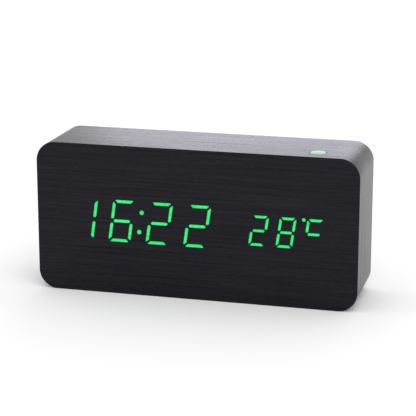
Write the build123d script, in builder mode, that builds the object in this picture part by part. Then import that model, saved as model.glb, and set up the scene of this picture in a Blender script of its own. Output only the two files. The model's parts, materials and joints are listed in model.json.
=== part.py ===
from build123d import *
import os
from math import cos, dist, pi, radians, sin, tan

# Desk clock: a low wood fibre block in black woodgrain film, with seven-segment light behind its front.
# X runs to the right seen from the front, Y to the back, Z up. The origin is in the middle of the underside.
# Lengths are in millimetres.

# Case
case_width = 150.0
case_height = 70.0
case_depth = 38.0
corner_radius = 9.0
sleeve_wall = 5.0
rabbet_lip = 2.5
panel_gap = 0.1
front_panel_thickness = 3.0
back_panel_thickness = 5.0
film_thickness = 0.4
film_edge_round = 0.3
rear_edge_round = 0.5

# Display
slant = 8.0
display_drop = 0.2
time_cell = 9.2
time_bar = 1.45
time_pitch_share = 0.1187
time_place_share = -0.169
temperature_cell = 6.45
temperature_bar = 1.25
temperature_pitch_share = 0.0833
temperature_place_share = 0.282
colon_diameter = 2.1
degree_diameter = 1.65
degree_offset = 2.2
bar_gap_share = 0.08
bar_blunt_share = 0.16
bar_clip_share = 0.24
housing_end = 3.5
housing_margin = 3.4
board_thickness = 1.6
component_room = 8.8

# Rear cover and batteries
cover_plate = 2.0
cover_recess = 0.8
cover_gap = 0.2
cell_diameter = 10.5
cell_length = 44.5
cell_gap = 0.5
cell_rear_gap = 0.4
cradle_gap = 0.2
bay_wall = 1.5
door_thickness = 1.8
door_gap = 0.3

# Buttons
button_diameter = 6.0
button_travel = 0.5
snooze_diameter = 7.4
snooze_side = 20.6
snooze_setback = 9.2

# Values that several pieces share
mid_z = case_height / 2
front_y = -case_depth / 2
rear_y = case_depth / 2
film_back_y = front_y + film_thickness
panel_back_y = film_back_y + front_panel_thickness
cover_face_y = rear_y - cover_recess
cover_inner_y = cover_face_y - cover_plate
door_inner_y = cover_face_y - door_thickness
cell_radius = cell_diameter / 2
cell_y = door_inner_y - cell_rear_gap - cell_radius
bay_floor_y = cell_y - cell_radius - cradle_gap
bay_front_y = bay_floor_y - bay_wall
display_rear_y = bay_front_y - component_room
housing_back_y = display_rear_y - board_thickness
housing_depth = housing_back_y - panel_back_y
rest_gap = 0.05
hole_gap = 0.2

os.makedirs("parts", exist_ok=True)


def depth_plane(y):
    """Upright plane at depth y, with X to the right, Z up and its normal towards the front."""
    return Plane.XZ.offset(-y)


def save(piece, node):
    piece.part.label = node
    export_step(piece.part, f"parts/{node}.step")


# Snooze button sizes that its hole, board and spacers share
snooze_x = case_width / 2 - snooze_side
snooze_y = front_y + snooze_setback
inner_top_z = case_height - sleeve_wall
snooze_spread = 16.0
snooze_screw_radius = 0.9
snooze_screw_bite = 3.0
pilot_gap = 0.05

# Case sleeve: wood fibre ring with rounded corners, rabbeted front and back for the two panels
rabbet_width = case_width - 2 * rabbet_lip
rabbet_height = case_height - 2 * rabbet_lip
rabbet_radius = corner_radius - rabbet_lip

with BuildPart() as case_sleeve:
    with BuildSketch(depth_plane(film_back_y)):
        with Locations((0, mid_z)):
            RectangleRounded(case_width, case_height, corner_radius)
            RectangleRounded(
                case_width - 2 * sleeve_wall,
                case_height - 2 * sleeve_wall,
                corner_radius - sleeve_wall,
                mode=Mode.SUBTRACT,
            )
    extrude(amount=film_back_y - rear_y)
    for start_y, depth in ((film_back_y, -front_panel_thickness), (rear_y, back_panel_thickness)):
        with BuildSketch(depth_plane(start_y)):
            with Locations((0, mid_z)):
                RectangleRounded(rabbet_width, rabbet_height, rabbet_radius)
        extrude(amount=depth, mode=Mode.SUBTRACT)
    rear_rim = case_sleeve.faces().sort_by(Axis.Y)[-1].outer_wire().edges()
    fillet(rear_rim, rear_edge_round)
    with Locations((snooze_x, snooze_y, case_height)):
        Hole(snooze_diameter / 2 + hole_gap, depth=sleeve_wall)
    with Locations((snooze_x, snooze_y, inner_top_z)):
        with GridLocations(snooze_spread, 0, 2, 1):
            Cylinder(
                snooze_screw_radius + pilot_gap,
                snooze_screw_bite + hole_gap,
                align=(Align.CENTER, Align.CENTER, Align.MIN),
                mode=Mode.SUBTRACT,
            )
save(case_sleeve, "case_sleeve")


# Display layout: each digit is seven bars round two square cells, leaning to the right
SHOWN_BARS = {"1": "bc", "2": "abdeg", "6": "acdefg", "8": "abcdefg", "c": "afg"}
ALL_BARS = "abcdefg"
time_pitch = time_pitch_share * case_width
time_x = time_place_share * case_width
temperature_pitch = temperature_pitch_share * case_width
temperature_x = temperature_place_share * case_width
time_digits = list(zip("1622", (time_x + (i - 1.5) * time_pitch for i in range(4))))
temperature_digits = list(zip("28c", (temperature_x + (i - 1) * temperature_pitch for i in range(3))))
lean = tan(radians(slant))


def bar_points(letter, cell, bar):
    """Corners of one bar about its digit's middle, before the digit leans."""
    half = bar / 2
    side = cell / 2
    gap = cell * bar_gap_share
    blunt = bar * bar_blunt_share
    clip = bar * bar_clip_share
    if letter == "g":
        reach = side - gap
        shoulder = reach - half + blunt
        right = [(shoulder, -half), (reach, -blunt), (reach, blunt), (shoulder, half)]
        return right + [(-u, -v) for u, v in right]
    if letter in "ad":
        reach = side - gap + half - clip
        shoulder = side - gap - half
        rim, tip, foot = cell + half, cell + half - clip, cell - half
        right = [(shoulder, foot), (reach, tip), (reach - clip, rim)]
        points = right + [(-u, v) for u, v in reversed(right)]
        mirror_u, mirror_v = 1, (1 if letter == "a" else -1)
    else:
        top = cell - gap + half - clip
        points = [
            (side - half, cell - gap - half),
            (side - half, gap + half),
            (side - blunt, gap + blunt),
            (side + blunt, gap + blunt),
            (side + half, gap + half),
            (side + half, top - clip),
            (side + half - clip, top),
        ]
        mirror_u = 1 if letter in "bc" else -1
        mirror_v = 1 if letter in "bf" else -1
    return [(mirror_u * u, mirror_v * v) for u, v in points]


def placed(points, centre_x):
    return [(centre_x + u + v * lean, mid_z - display_drop + v) for u, v in points]


def digit_bars(digits, cell, bar, lit):
    """Outlines of the lit or the unlit bars of a row of digits."""
    outlines = []
    for sign, centre_x in digits:
        for letter in ALL_BARS:
            if (letter in SHOWN_BARS[sign]) == lit:
                outlines.append(placed(bar_points(letter, cell, bar), centre_x))
    return outlines


def draw_bars(outlines):
    add([Polygon(*outline, mode=Mode.PRIVATE) for outline in outlines])


lit_time = digit_bars(time_digits, time_cell, time_bar, True)
lit_temperature = digit_bars(temperature_digits, temperature_cell, temperature_bar, True)
unlit = digit_bars(time_digits, time_cell, time_bar, False)
unlit += digit_bars(temperature_digits, temperature_cell, temperature_bar, False)
colon_places = placed([(0, time_cell / 2), (0, -time_cell / 2)], time_x)
degree_u = -(temperature_cell / 2 + degree_offset)
degree_place = placed([(degree_u, temperature_cell)], temperature_x + temperature_pitch)


def draw_colon():
    with Locations(*colon_places):
        Circle(colon_diameter / 2)


def draw_degree():
    with Locations(*degree_place):
        Circle(degree_diameter / 2)


# Front panel: thin fibre board in the front rabbet, slotted for every bar and dot
with BuildPart() as front_panel:
    with BuildSketch(depth_plane(film_back_y)):
        with Locations((0, mid_z)):
            RectangleRounded(
                rabbet_width - 2 * panel_gap, rabbet_height - 2 * panel_gap, rabbet_radius - panel_gap
            )
    extrude(amount=-front_panel_thickness)
    with BuildSketch(depth_plane(film_back_y)):
        draw_bars(lit_time + lit_temperature + unlit)
        draw_colon()
        draw_degree()
    extrude(amount=-front_panel_thickness, mode=Mode.SUBTRACT)
save(front_panel, "front_panel")

# Front film: woodgrain sheet over the panel and the sleeve's edge, open where a bar is lit
with BuildPart() as front_film:
    with BuildSketch(depth_plane(front_y)):
        with Locations((0, mid_z)):
            RectangleRounded(case_width, case_height, corner_radius)
    extrude(amount=-film_thickness)
    front_rim = front_film.faces().sort_by(Axis.Y)[0].outer_wire().edges()
    fillet(front_rim, film_edge_round)
    with BuildSketch(depth_plane(front_y)):
        draw_bars(lit_time + lit_temperature)
        draw_colon()
        draw_degree()
    extrude(amount=-film_thickness, mode=Mode.SUBTRACT)
save(front_film, "front_film")

# Light guides: milky bars in the panel's slots, the lit ones flush with the film's face
with BuildPart() as time_segments:
    with BuildSketch(depth_plane(front_y)):
        draw_bars(lit_time)
        draw_colon()
    extrude(amount=front_y - panel_back_y)
save(time_segments, "time_segments")

with BuildPart() as temperature_segments:
    with BuildSketch(depth_plane(front_y)):
        draw_bars(lit_temperature)
        draw_degree()
    extrude(amount=front_y - panel_back_y)
save(temperature_segments, "temperature_segments")

with BuildPart() as unlit_segments:
    with BuildSketch(depth_plane(film_back_y)):
        draw_bars(unlit)
    extrude(amount=film_back_y - panel_back_y)
save(unlit_segments, "unlit_segments")

# Display housing: white block of light wells, each tapering back from its bar to its chip
well_taper_share = 0.8
housing_radius = 1.5
display_screw_inset = 2.6
display_screw_radius = 0.9
display_screw_bite_share = 0.55
row_lean = time_cell * lean
display_left = time_digits[0][1] - time_cell / 2 - time_bar / 2 - row_lean
display_right = temperature_digits[-1][1] + temperature_cell / 2 + temperature_bar / 2 + row_lean
housing_width = display_right - display_left + 2 * housing_end
housing_height = 2 * (time_cell + housing_margin) + time_bar
housing_x = (display_left + display_right) / 2
display_screw_bite = display_screw_bite_share * housing_depth
display_screw_step_x = housing_width - 2 * display_screw_inset
display_screw_step_z = housing_height - 2 * display_screw_inset

time_wells = [(letter, x, time_cell, time_bar) for _, x in time_digits for letter in ALL_BARS]
temperature_wells = [
    (letter, x, temperature_cell, temperature_bar) for _, x in temperature_digits for letter in ALL_BARS
]


def housing_outline():
    with Locations((housing_x, mid_z)):
        RectangleRounded(housing_width, housing_height, housing_radius)


def display_screw_circles(radius):
    with Locations((housing_x, mid_z)):
        with GridLocations(display_screw_step_x, display_screw_step_z, 2, 2):
            Circle(radius)


with BuildPart() as display_housing:
    with BuildSketch(depth_plane(panel_back_y)):
        housing_outline()
    extrude(amount=-housing_depth)
    wells = []
    for letter, centre_x, cell, bar in time_wells + temperature_wells:
        with BuildSketch(depth_plane(panel_back_y), mode=Mode.PRIVATE) as mouth:
            Polygon(*placed(bar_points(letter, cell, bar), centre_x))
        with BuildSketch(depth_plane(housing_back_y), mode=Mode.PRIVATE) as foot:
            Polygon(*placed(bar_points(letter, cell, bar * well_taper_share), centre_x))
        wells.append(loft([mouth.sketch.face(), foot.sketch.face()], ruled=True, mode=Mode.PRIVATE))
    add(wells, mode=Mode.SUBTRACT)
    with BuildSketch(depth_plane(panel_back_y)):
        draw_colon()
        draw_degree()
    extrude(amount=-housing_depth, mode=Mode.SUBTRACT)
    with BuildSketch(depth_plane(housing_back_y)):
        display_screw_circles(display_screw_radius + pilot_gap)
    extrude(amount=display_screw_bite + hole_gap, mode=Mode.SUBTRACT)
save(display_housing, "display_housing")

# Display board on the back of the housing
with BuildPart() as display_board:
    with BuildSketch(depth_plane(housing_back_y)):
        housing_outline()
    extrude(amount=-board_thickness)
    with BuildSketch(depth_plane(housing_back_y)):
        display_screw_circles(display_screw_radius + hole_gap)
    extrude(amount=-board_thickness, mode=Mode.SUBTRACT)
save(display_board, "display_board")

# Light chips at the bottom of the wells: two behind each time bar, one behind each smaller bar and dot
led_length = 1.6
led_width = 0.8
led_height = 0.6
led_pair_share = 0.36


def chip_places(letter, cell, count):
    """Middle of each chip about its digit's middle, and whether the bar lies across."""
    across = letter in "agd"
    if across:
        u, v = 0, {"a": cell, "g": 0, "d": -cell}[letter]
    else:
        u = cell / 2 if letter in "bc" else -cell / 2
        v = cell / 2 if letter in "bf" else -cell / 2
    steps = [0] if count == 1 else [-led_pair_share * cell / 2, led_pair_share * cell / 2]
    return [(u + step, v) if across else (u, v + step) for step in steps], across


with BuildPart() as segment_leds:
    with BuildSketch(depth_plane(housing_back_y)):
        for wells, count in ((time_wells, 2), (temperature_wells, 1)):
            for letter, centre_x, cell, bar in wells:
                places, across = chip_places(letter, cell, count)
                with Locations(*placed(places, centre_x)):
                    if across:
                        Rectangle(led_length, led_width)
                    else:
                        Rectangle(led_width, led_length)
        with Locations(*colon_places, *degree_place):
            Rectangle(led_width, led_width)
    extrude(amount=led_height)
save(segment_leds, "segment_leds")

# Pan head screws that hold the display board to the housing
pan_head_radius = 1.7
pan_head_height = 1.1

with BuildPart() as display_screws:
    with BuildSketch(depth_plane(display_rear_y)):
        display_screw_circles(pan_head_radius)
    extrude(amount=-pan_head_height)
    with BuildSketch(depth_plane(display_rear_y)):
        display_screw_circles(display_screw_radius)
    extrude(amount=board_thickness + display_screw_bite)
save(display_screws, "display_screws")

# Chips on the back of the display board: flat bodies with a row of leads along each long side
chip_height = 2.2
chip_bevel = 0.25
lead_reach = 1.4
lead_width = 0.6
lead_height = 0.5
lead_pitch = 2.0


def chip(centre_x, centre_z, width, height, leads):
    with BuildSketch(depth_plane(display_rear_y)) as body_outline:
        with Locations((centre_x, centre_z)):
            Rectangle(width, height)
    extrude(body_outline.sketch, amount=-chip_height)
    with BuildSketch(depth_plane(display_rear_y)) as lead_outline:
        with Locations((centre_x, centre_z)):
            with GridLocations(lead_pitch, height + lead_reach, leads, 2):
                Rectangle(lead_width, lead_reach)
    extrude(lead_outline.sketch, amount=-lead_height)


controller_width = 18.0
controller_height = 7.5
controller_offset = 4.0
controller_x = housing_x + controller_offset
controller_rise = -5.0
controller_leads = 8
with BuildPart() as controller_chip:
    chip(controller_x, mid_z + controller_rise, controller_width, controller_height, controller_leads)
    chamfer(controller_chip.faces().sort_by(Axis.Y)[-1].edges(), chip_bevel)
save(controller_chip, "controller_chip")

driver_width = 12.0
driver_height = 5.3
driver_inset = 8.9
driver_rise = -5.0
driver_leads = 5
driver_spread = housing_width - 2 * driver_inset
with BuildPart() as driver_chips:
    for driver_x in (housing_x - driver_spread / 2, housing_x + driver_spread / 2):
        chip(driver_x, mid_z + driver_rise, driver_width, driver_height, driver_leads)
    chamfer(driver_chips.faces().group_by(Axis.Y)[-1].edges(), chip_bevel)
save(driver_chips, "driver_chips")

# Clock crystal: small can lying on the board above the controller
crystal_radius = 1.0
crystal_length = 6.0
crystal_rise = 4.5
with BuildPart() as clock_crystal:
    crystal_middle = (controller_x, display_rear_y + crystal_radius, mid_z + crystal_rise)
    with Locations(Location(crystal_middle, (0, 90, 0))):
        Cylinder(crystal_radius, crystal_length)
save(clock_crystal, "clock_crystal")

# Supply capacitor: can on a square plastic base
capacitor_radius = 3.1
capacitor_height = 5.2
capacitor_base = 6.6
capacitor_base_height = 0.8
capacitor_offset = -12.0
capacitor_x = housing_x + capacitor_offset
capacitor_rise = -4.0
with BuildPart() as supply_capacitor:
    with BuildSketch(depth_plane(display_rear_y)):
        with Locations((capacitor_x, mid_z + capacitor_rise)):
            Rectangle(capacitor_base, capacitor_base)
    extrude(amount=-capacitor_base_height)
    with BuildSketch(depth_plane(display_rear_y + capacitor_base_height)):
        with Locations((capacitor_x, mid_z + capacitor_rise)):
            Circle(capacitor_radius)
    extrude(amount=capacitor_base_height - capacitor_height)
save(supply_capacitor, "supply_capacitor")

# Coin cell in its open-fronted holder, which keeps the time when the supply is off
coin_diameter = 20.0
coin_thickness = 3.2
coin_gap = 0.2
coin_wall = 1.2
coin_floor = 0.8
coin_place_share = 0.24
coin_x = housing_x + coin_place_share * housing_width
coin_rise = 1.5
coin_mouth_share = 0.55
with BuildPart() as coin_cell_holder:
    with BuildSketch(depth_plane(display_rear_y)):
        with Locations((coin_x, mid_z + coin_rise)):
            Circle(coin_diameter / 2 + coin_gap + coin_wall)
    extrude(amount=-(coin_floor + coin_thickness))
    with BuildSketch(depth_plane(display_rear_y + coin_floor)):
        with Locations((coin_x, mid_z + coin_rise)):
            Circle(coin_diameter / 2 + coin_gap)
    extrude(amount=-coin_thickness, mode=Mode.SUBTRACT)
    with BuildSketch(depth_plane(display_rear_y + coin_floor)):
        with Locations((coin_x, mid_z + coin_rise + coin_diameter / 2)):
            Rectangle(coin_diameter * coin_mouth_share, coin_diameter)
    extrude(amount=-coin_thickness, mode=Mode.SUBTRACT)
save(coin_cell_holder, "coin_cell_holder")

coin_edge_round = 0.4
with BuildPart() as coin_cell:
    with BuildSketch(depth_plane(display_rear_y + coin_floor + rest_gap)):
        with Locations((coin_x, mid_z + coin_rise)):
            Circle(coin_diameter / 2)
    extrude(amount=-coin_thickness)
    chamfer(coin_cell.edges().sort_by(Axis.Y)[-1], coin_edge_round)
save(coin_cell, "coin_cell")

# Battery bay sizes that the cover, the door, the contacts and the cells share
contact_thickness = 0.4
contact_gap = 0.05
dimple_height = 0.9
spring_length = 5.0
cell_count = 3
cell_pitch = cell_diameter + cell_gap
bay_height = cell_count * cell_diameter + (cell_count + 1) * cell_gap
bay_length = cell_length + dimple_height + spring_length + 2 * contact_thickness + 4 * contact_gap
cradle_drop = 2.6
cradle_inset = 8.0
door_overlap = 2.0
door_seat_gap = 0.05
cell_rows = [mid_z + (1 - i) * cell_pitch for i in range(cell_count)]

# Door hinge: hooks on the door's lower edge turn about the rounded sill of the cover
door_width = bay_length + 2 * door_overlap
door_height = bay_height + 2 * door_overlap
door_bottom_z = mid_z - door_height / 2
sill_gap = 0.2
sill_radius = cover_plate / 2
hinge_y = cover_face_y - sill_radius
hinge_z = door_bottom_z - sill_gap - sill_radius
hook_gap = 0.15
hook_thickness = 1.1
hook_width = 6.0
hook_spread = 30.0
hook_turn = 105.0
hook_inner = sill_radius + hook_gap
hook_outer = hook_inner + hook_thickness

# Rear cover layout: the bay's collar and the control board side by side in the back panel's opening
collar_wall = 1.2
collar_depth = 2.0
control_width = 34.0
control_height = 36.0
control_margin = 3.0
control_spacing = 3.0
bay_margin = 1.8
opening_margin = 0.85
collar_width = door_width + 2 * door_gap + 2 * collar_wall
opening_width = bay_margin + collar_width + control_spacing + control_width + control_margin
opening_height = 2 * (mid_z - hinge_z + collar_wall + opening_margin)
bay_x = opening_width / 2 - bay_margin - collar_width / 2
control_x = control_margin + control_width / 2 - opening_width / 2
seat_x = 6.0
seat_z = 4.0
cover_width = opening_width + 2 * seat_x
cover_height = opening_height + 2 * seat_z
cover_radius = 4.0
opening_radius = 2.0
cover_screw_inset = 3.4
cover_screw_radius = 1.0
cover_screw_length = 7.0
cover_screw_step_x = cover_width - 2 * cover_screw_inset
cover_screw_step_z = cover_height - 2 * cover_screw_inset
counterbore_gap = 0.3
counterbore_depth = 1.2


def cover_screw_circles(radius):
    with Locations((0, mid_z)):
        with GridLocations(cover_screw_step_x, cover_screw_step_z, 2, 2):
            Circle(radius)


# Back panel: film-faced fibre board in the rear rabbet, with a stepped opening that seats the cover
with BuildPart() as back_panel:
    with BuildSketch(depth_plane(rear_y)):
        with Locations((0, mid_z)):
            RectangleRounded(
                rabbet_width - 2 * panel_gap, rabbet_height - 2 * panel_gap, rabbet_radius - panel_gap
            )
            RectangleRounded(opening_width, opening_height, opening_radius, mode=Mode.SUBTRACT)
    extrude(amount=back_panel_thickness)
    with BuildSketch(depth_plane(rear_y)):
        with Locations((0, mid_z)):
            RectangleRounded(
                cover_width + 2 * cover_gap, cover_height + 2 * cover_gap, cover_radius + cover_gap
            )
    extrude(amount=cover_recess + cover_plate, mode=Mode.SUBTRACT)
    with BuildSketch(depth_plane(rear_y)):
        cover_screw_circles(cover_screw_radius + pilot_gap)
    extrude(amount=back_panel_thickness, mode=Mode.SUBTRACT)
save(back_panel, "back_panel")

# Control layout on the rear cover: a column of three buttons, the supply inlet, a sound hole and a vent
boss_length = 8.6
boss_radius = 2.2
boss_inset = 2.4
control_screw_radius = 0.9
control_screw_bite = 5.0
button_inset = 8.5
button_x = control_x + control_width / 2 - button_inset
button_pitch = 9.5
button_rows = [mid_z + (1 - i) * button_pitch for i in range(3)]
button_gap = 0.2
dish_margin = 2.2
dish_depth = 0.5
inlet_inset = 9.5
inlet_x = control_x - control_width / 2 + inlet_inset
inlet_rise = -9.0
inlet_size = 9.0
inlet_nose_radius = 3.2
inlet_nose_setback = 0.3
sound_offset = 1.2
sound_x = control_x + sound_offset
sound_rise = -14.0
sound_hole_radius = 0.7
vent_inset = 9.0
vent_x = control_x - control_width / 2 + vent_inset
vent_rise = 9.0
vent_length = 9.0
vent_width = 1.2
vent_pitch = 2.4
vent_count = 5
control_rear_y = cover_inner_y - boss_length
control_front_y = control_rear_y - board_thickness
tab_width = 3.0
tab_length = 2.4
bay_left_x = bay_x - bay_length / 2
bay_right_x = bay_x + bay_length / 2


def boss_circles(radius, mode=Mode.ADD):
    with Locations((control_x, mid_z)):
        with GridLocations(control_width - 2 * boss_inset, control_height - 2 * boss_inset, 2, 2):
            Circle(radius, mode=mode)


# Rear cover: black moulding with the battery bay, its cradles and door sill, and the control bosses
with BuildPart() as rear_cover:
    with BuildSketch(depth_plane(cover_face_y)):
        with Locations((0, mid_z)):
            RectangleRounded(cover_width, cover_height, cover_radius)
    extrude(amount=cover_plate)
    collar_bottom_z = hinge_z - collar_wall
    collar_top_z = door_bottom_z + door_height + door_gap + collar_wall
    with BuildSketch(depth_plane(cover_inner_y)):
        with Locations((bay_x, (collar_bottom_z + collar_top_z) / 2)):
            Rectangle(collar_width, collar_top_z - collar_bottom_z)
    extrude(amount=collar_depth)
    with BuildSketch(depth_plane(cover_inner_y)):
        with Locations((bay_x, mid_z)):
            Rectangle(bay_length + 2 * bay_wall, bay_height + 2 * bay_wall)
    extrude(amount=cover_inner_y - bay_front_y)
    with BuildSketch(depth_plane(cover_face_y)):
        with Locations((bay_x, mid_z)):
            Rectangle(bay_length, bay_height)
    extrude(amount=cover_face_y - bay_floor_y, mode=Mode.SUBTRACT)
    # Cradles: the bay's floor rises between the cells
    with BuildSketch(Plane.YZ.offset(bay_left_x + cradle_inset)):
        with Locations(((bay_floor_y + cell_y - cradle_drop) / 2, mid_z)):
            Rectangle(cell_y - cradle_drop - bay_floor_y, bay_height)
        with Locations(*[(cell_y, z) for z in cell_rows]):
            Circle(cell_radius + cradle_gap, mode=Mode.SUBTRACT)
    extrude(amount=bay_length - 2 * cradle_inset)
    # Recess for the door, with a rounded sill along its lower edge
    recess_top_z = door_bottom_z + door_height + door_gap
    with BuildSketch(depth_plane(cover_face_y)):
        with Locations((bay_x, (hinge_z + recess_top_z) / 2)):
            Rectangle(door_width + 2 * door_gap, recess_top_z - hinge_z)
    extrude(amount=door_thickness + door_seat_gap, mode=Mode.SUBTRACT)
    with BuildSketch(Plane.YZ.offset(bay_x - door_width / 2 - door_gap)):
        with Locations((hinge_y, hinge_z)):
            Circle(sill_radius)
            Rectangle(cover_plate, sill_radius, align=(Align.CENTER, Align.MAX), mode=Mode.SUBTRACT)
    extrude(amount=door_width + 2 * door_gap)
    # Pockets behind the sill, in which the hooks turn
    pocket_reach = hook_outer + door_gap
    with BuildSketch(depth_plane(hinge_y - sill_radius)):
        with Locations((bay_x, hinge_z)):
            with GridLocations(hook_spread, 0, 2, 1):
                Rectangle(hook_width + 2 * door_gap, 2 * pocket_reach)
    extrude(amount=pocket_reach - sill_radius, mode=Mode.SUBTRACT)
    with BuildSketch(depth_plane(door_inner_y)):
        with Locations((bay_x, hinge_z)):
            with GridLocations(hook_spread, 0, 2, 1):
                Rectangle(hook_width + 2 * door_gap, pocket_reach, align=(Align.CENTER, Align.MIN))
    extrude(amount=door_inner_y - hinge_y + sill_radius, mode=Mode.SUBTRACT)
    # Bosses for the control board
    with BuildSketch(depth_plane(cover_inner_y)):
        boss_circles(boss_radius)
    extrude(amount=boss_length)
    with BuildSketch(depth_plane(control_rear_y)):
        boss_circles(control_screw_radius + pilot_gap)
    extrude(amount=-(control_screw_bite + hole_gap), mode=Mode.SUBTRACT)
    # Button dishes and holes, supply inlet, sound hole and vent slots
    with BuildSketch(depth_plane(cover_face_y)):
        with Locations(*[(button_x, z) for z in button_rows]):
            Circle(button_diameter / 2 + dish_margin - button_gap)
    extrude(amount=dish_depth, mode=Mode.SUBTRACT)
    with BuildSketch(depth_plane(cover_face_y)):
        with Locations(*[(button_x, z) for z in button_rows]):
            Circle(button_diameter / 2 + button_gap)
        with Locations((inlet_x, mid_z + inlet_rise)):
            Circle(inlet_nose_radius + hole_gap)
        with Locations((sound_x, mid_z + sound_rise)):
            Circle(sound_hole_radius)
        with Locations((vent_x, mid_z + vent_rise)):
            with GridLocations(0, vent_pitch, 1, vent_count):
                SlotOverall(vent_length, vent_width)
        cover_screw_circles(cover_screw_radius + hole_gap)
    extrude(amount=cover_plate, mode=Mode.SUBTRACT)
    with BuildSketch(depth_plane(cover_face_y)):
        cover_screw_circles(pan_head_radius + counterbore_gap)
    extrude(amount=counterbore_depth, mode=Mode.SUBTRACT)
    # Slots in the bay's floor for the two end contacts' solder tabs
    with BuildSketch(depth_plane(bay_floor_y)):
        for wall_x, inward, row_z in ((bay_left_x, 1, cell_rows[0]), (bay_right_x, -1, cell_rows[-1])):
            with Locations((wall_x + inward * (contact_gap + contact_thickness / 2), row_z)):
                Rectangle(contact_thickness + 2 * contact_gap, tab_width + 2 * contact_gap)
    extrude(amount=bay_wall, mode=Mode.SUBTRACT)
save(rear_cover, "rear_cover")

# Screws that hold the rear cover to the back panel
with BuildPart() as rear_cover_screws:
    with BuildSketch(depth_plane(cover_face_y - counterbore_depth)):
        cover_screw_circles(pan_head_radius)
    extrude(amount=-pan_head_height)
    with BuildSketch(depth_plane(cover_face_y - counterbore_depth)):
        cover_screw_circles(cover_screw_radius)
    extrude(amount=cover_screw_length)
save(rear_cover_screws, "rear_cover_screws")

# Battery door: flat lid with two hooks below, a latch tongue above and finger ribs on the tongue
door_corner = 1.5
tongue_width = 14.0
tongue_length = 10.0
tongue_slit = 0.8
nose_width = 8.0
nose_depth = 1.4
nose_height = 1.2
rib_count = 3
rib_pitch = 2.2
rib_width = 0.8
rib_height = 0.4
rib_inset = 3.0
door_top_z = door_bottom_z + door_height

with BuildPart() as battery_door:
    with BuildSketch(depth_plane(cover_face_y)):
        with Locations((bay_x, mid_z)):
            RectangleRounded(door_width, door_height, door_corner)
        with Locations((bay_x, door_top_z)):
            with GridLocations(tongue_width + tongue_slit, 0, 2, 1):
                Rectangle(
                    tongue_slit, tongue_length, align=(Align.CENTER, Align.MAX), mode=Mode.SUBTRACT
                )
    extrude(amount=door_thickness)
    with BuildSketch(depth_plane(cover_face_y)):
        with Locations((bay_x, door_top_z - rib_inset - (rib_count - 1) * rib_pitch / 2)):
            with GridLocations(0, rib_pitch, 1, rib_count):
                SlotOverall(tongue_width - 2 * rib_width, rib_width)
    extrude(amount=-rib_height)
    # Latch nose below the tongue's end, just inside the bay's upper wall
    with BuildSketch(depth_plane(door_inner_y)):
        with Locations((bay_x, mid_z + bay_height / 2 - door_gap)):
            Rectangle(nose_width, nose_height, align=(Align.CENTER, Align.MAX))
    extrude(amount=nose_depth)
    # Hooks: part rings about the hinge line, from the door's lower edge round behind the sill
    for hook_x in (bay_x - hook_spread / 2, bay_x + hook_spread / 2):
        with BuildSketch(Plane.YZ.offset(hook_x - hook_width / 2)):
            with BuildLine():
                outer = CenterArc((hinge_y, hinge_z), hook_outer, 90, hook_turn)
                inner = CenterArc((hinge_y, hinge_z), hook_inner, 90, hook_turn)
                Line(outer @ 0, inner @ 0)
                Line(outer @ 1, inner @ 1)
            make_face()
        extrude(amount=hook_width)
save(battery_door, "battery_door")

# Three small round cells, turned about in series: each is a can with a raised button at its plus end
nub_radius = 1.9
nub_height = 1.0
cell_edge_bevel = 0.4
plus_x = bay_left_x + contact_gap + contact_thickness + dimple_height + contact_gap
plus_ends = (-1, 1, -1)

with BuildPart() as battery_cells:
    for row_z, plus_end in zip(cell_rows, plus_ends):
        tip_x = bay_x + plus_end * (bay_x - plus_x)
        shoulder_x = tip_x - plus_end * nub_height
        with BuildSketch(Plane.YZ.offset(shoulder_x)):
            with Locations((cell_y, row_z)):
                Circle(cell_radius)
        can = extrude(amount=-plus_end * (cell_length - nub_height))
        chamfer(can.edges().filter_by(GeomType.CIRCLE), cell_edge_bevel)
        with BuildSketch(Plane.YZ.offset(shoulder_x)):
            with Locations((cell_y, row_z)):
                Circle(nub_radius)
        extrude(amount=plus_end * nub_height)
save(battery_cells, "battery_cells")

# Contact plates at the bay's ends: two single plates with solder tabs and two that join neighbouring cells
plate_width = 8.4
plate_rise = 4.0
dimple_radius = 2.2
plate_front_y = bay_floor_y + rest_gap
plate_rear_y = cell_y + plate_rise
left_groups = (cell_rows[:1], cell_rows[1:])
right_groups = (cell_rows[:2], cell_rows[2:])
contact_ends = ((bay_left_x, 1, left_groups), (bay_right_x, -1, right_groups))

with BuildPart() as contact_plates:
    for wall_x, inward, groups in contact_ends:
        back_x = wall_x + inward * contact_gap
        face_x = back_x + inward * contact_thickness
        for rows in groups:
            with BuildSketch(Plane.YZ.offset(back_x)):
                with Locations(((plate_front_y + plate_rear_y) / 2, (rows[0] + rows[-1]) / 2)):
                    Rectangle(plate_rear_y - plate_front_y, rows[0] - rows[-1] + plate_width)
                if len(rows) == 1:
                    with Locations((plate_front_y, rows[0])):
                        Rectangle(
                            bay_wall + rest_gap + tab_length, tab_width, align=(Align.MAX, Align.CENTER)
                        )
            extrude(amount=inward * contact_thickness)
            for row_z in rows:
                if plus_ends[cell_rows.index(row_z)] == -inward:
                    with BuildSketch(Plane.YZ.offset(face_x)):
                        with Locations((cell_y, row_z)):
                            Circle(dimple_radius)
                    extrude(amount=inward * dimple_height)
save(contact_plates, "contact_plates")

# Contact springs: conical coils from each plate to its cell's flat end
wire_radius = 0.3
coil_base_radius = 3.4
coil_tip_radius = 2.1
coil_turns = 3
arcs_per_turn = 2
samples_per_turn = 24


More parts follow.
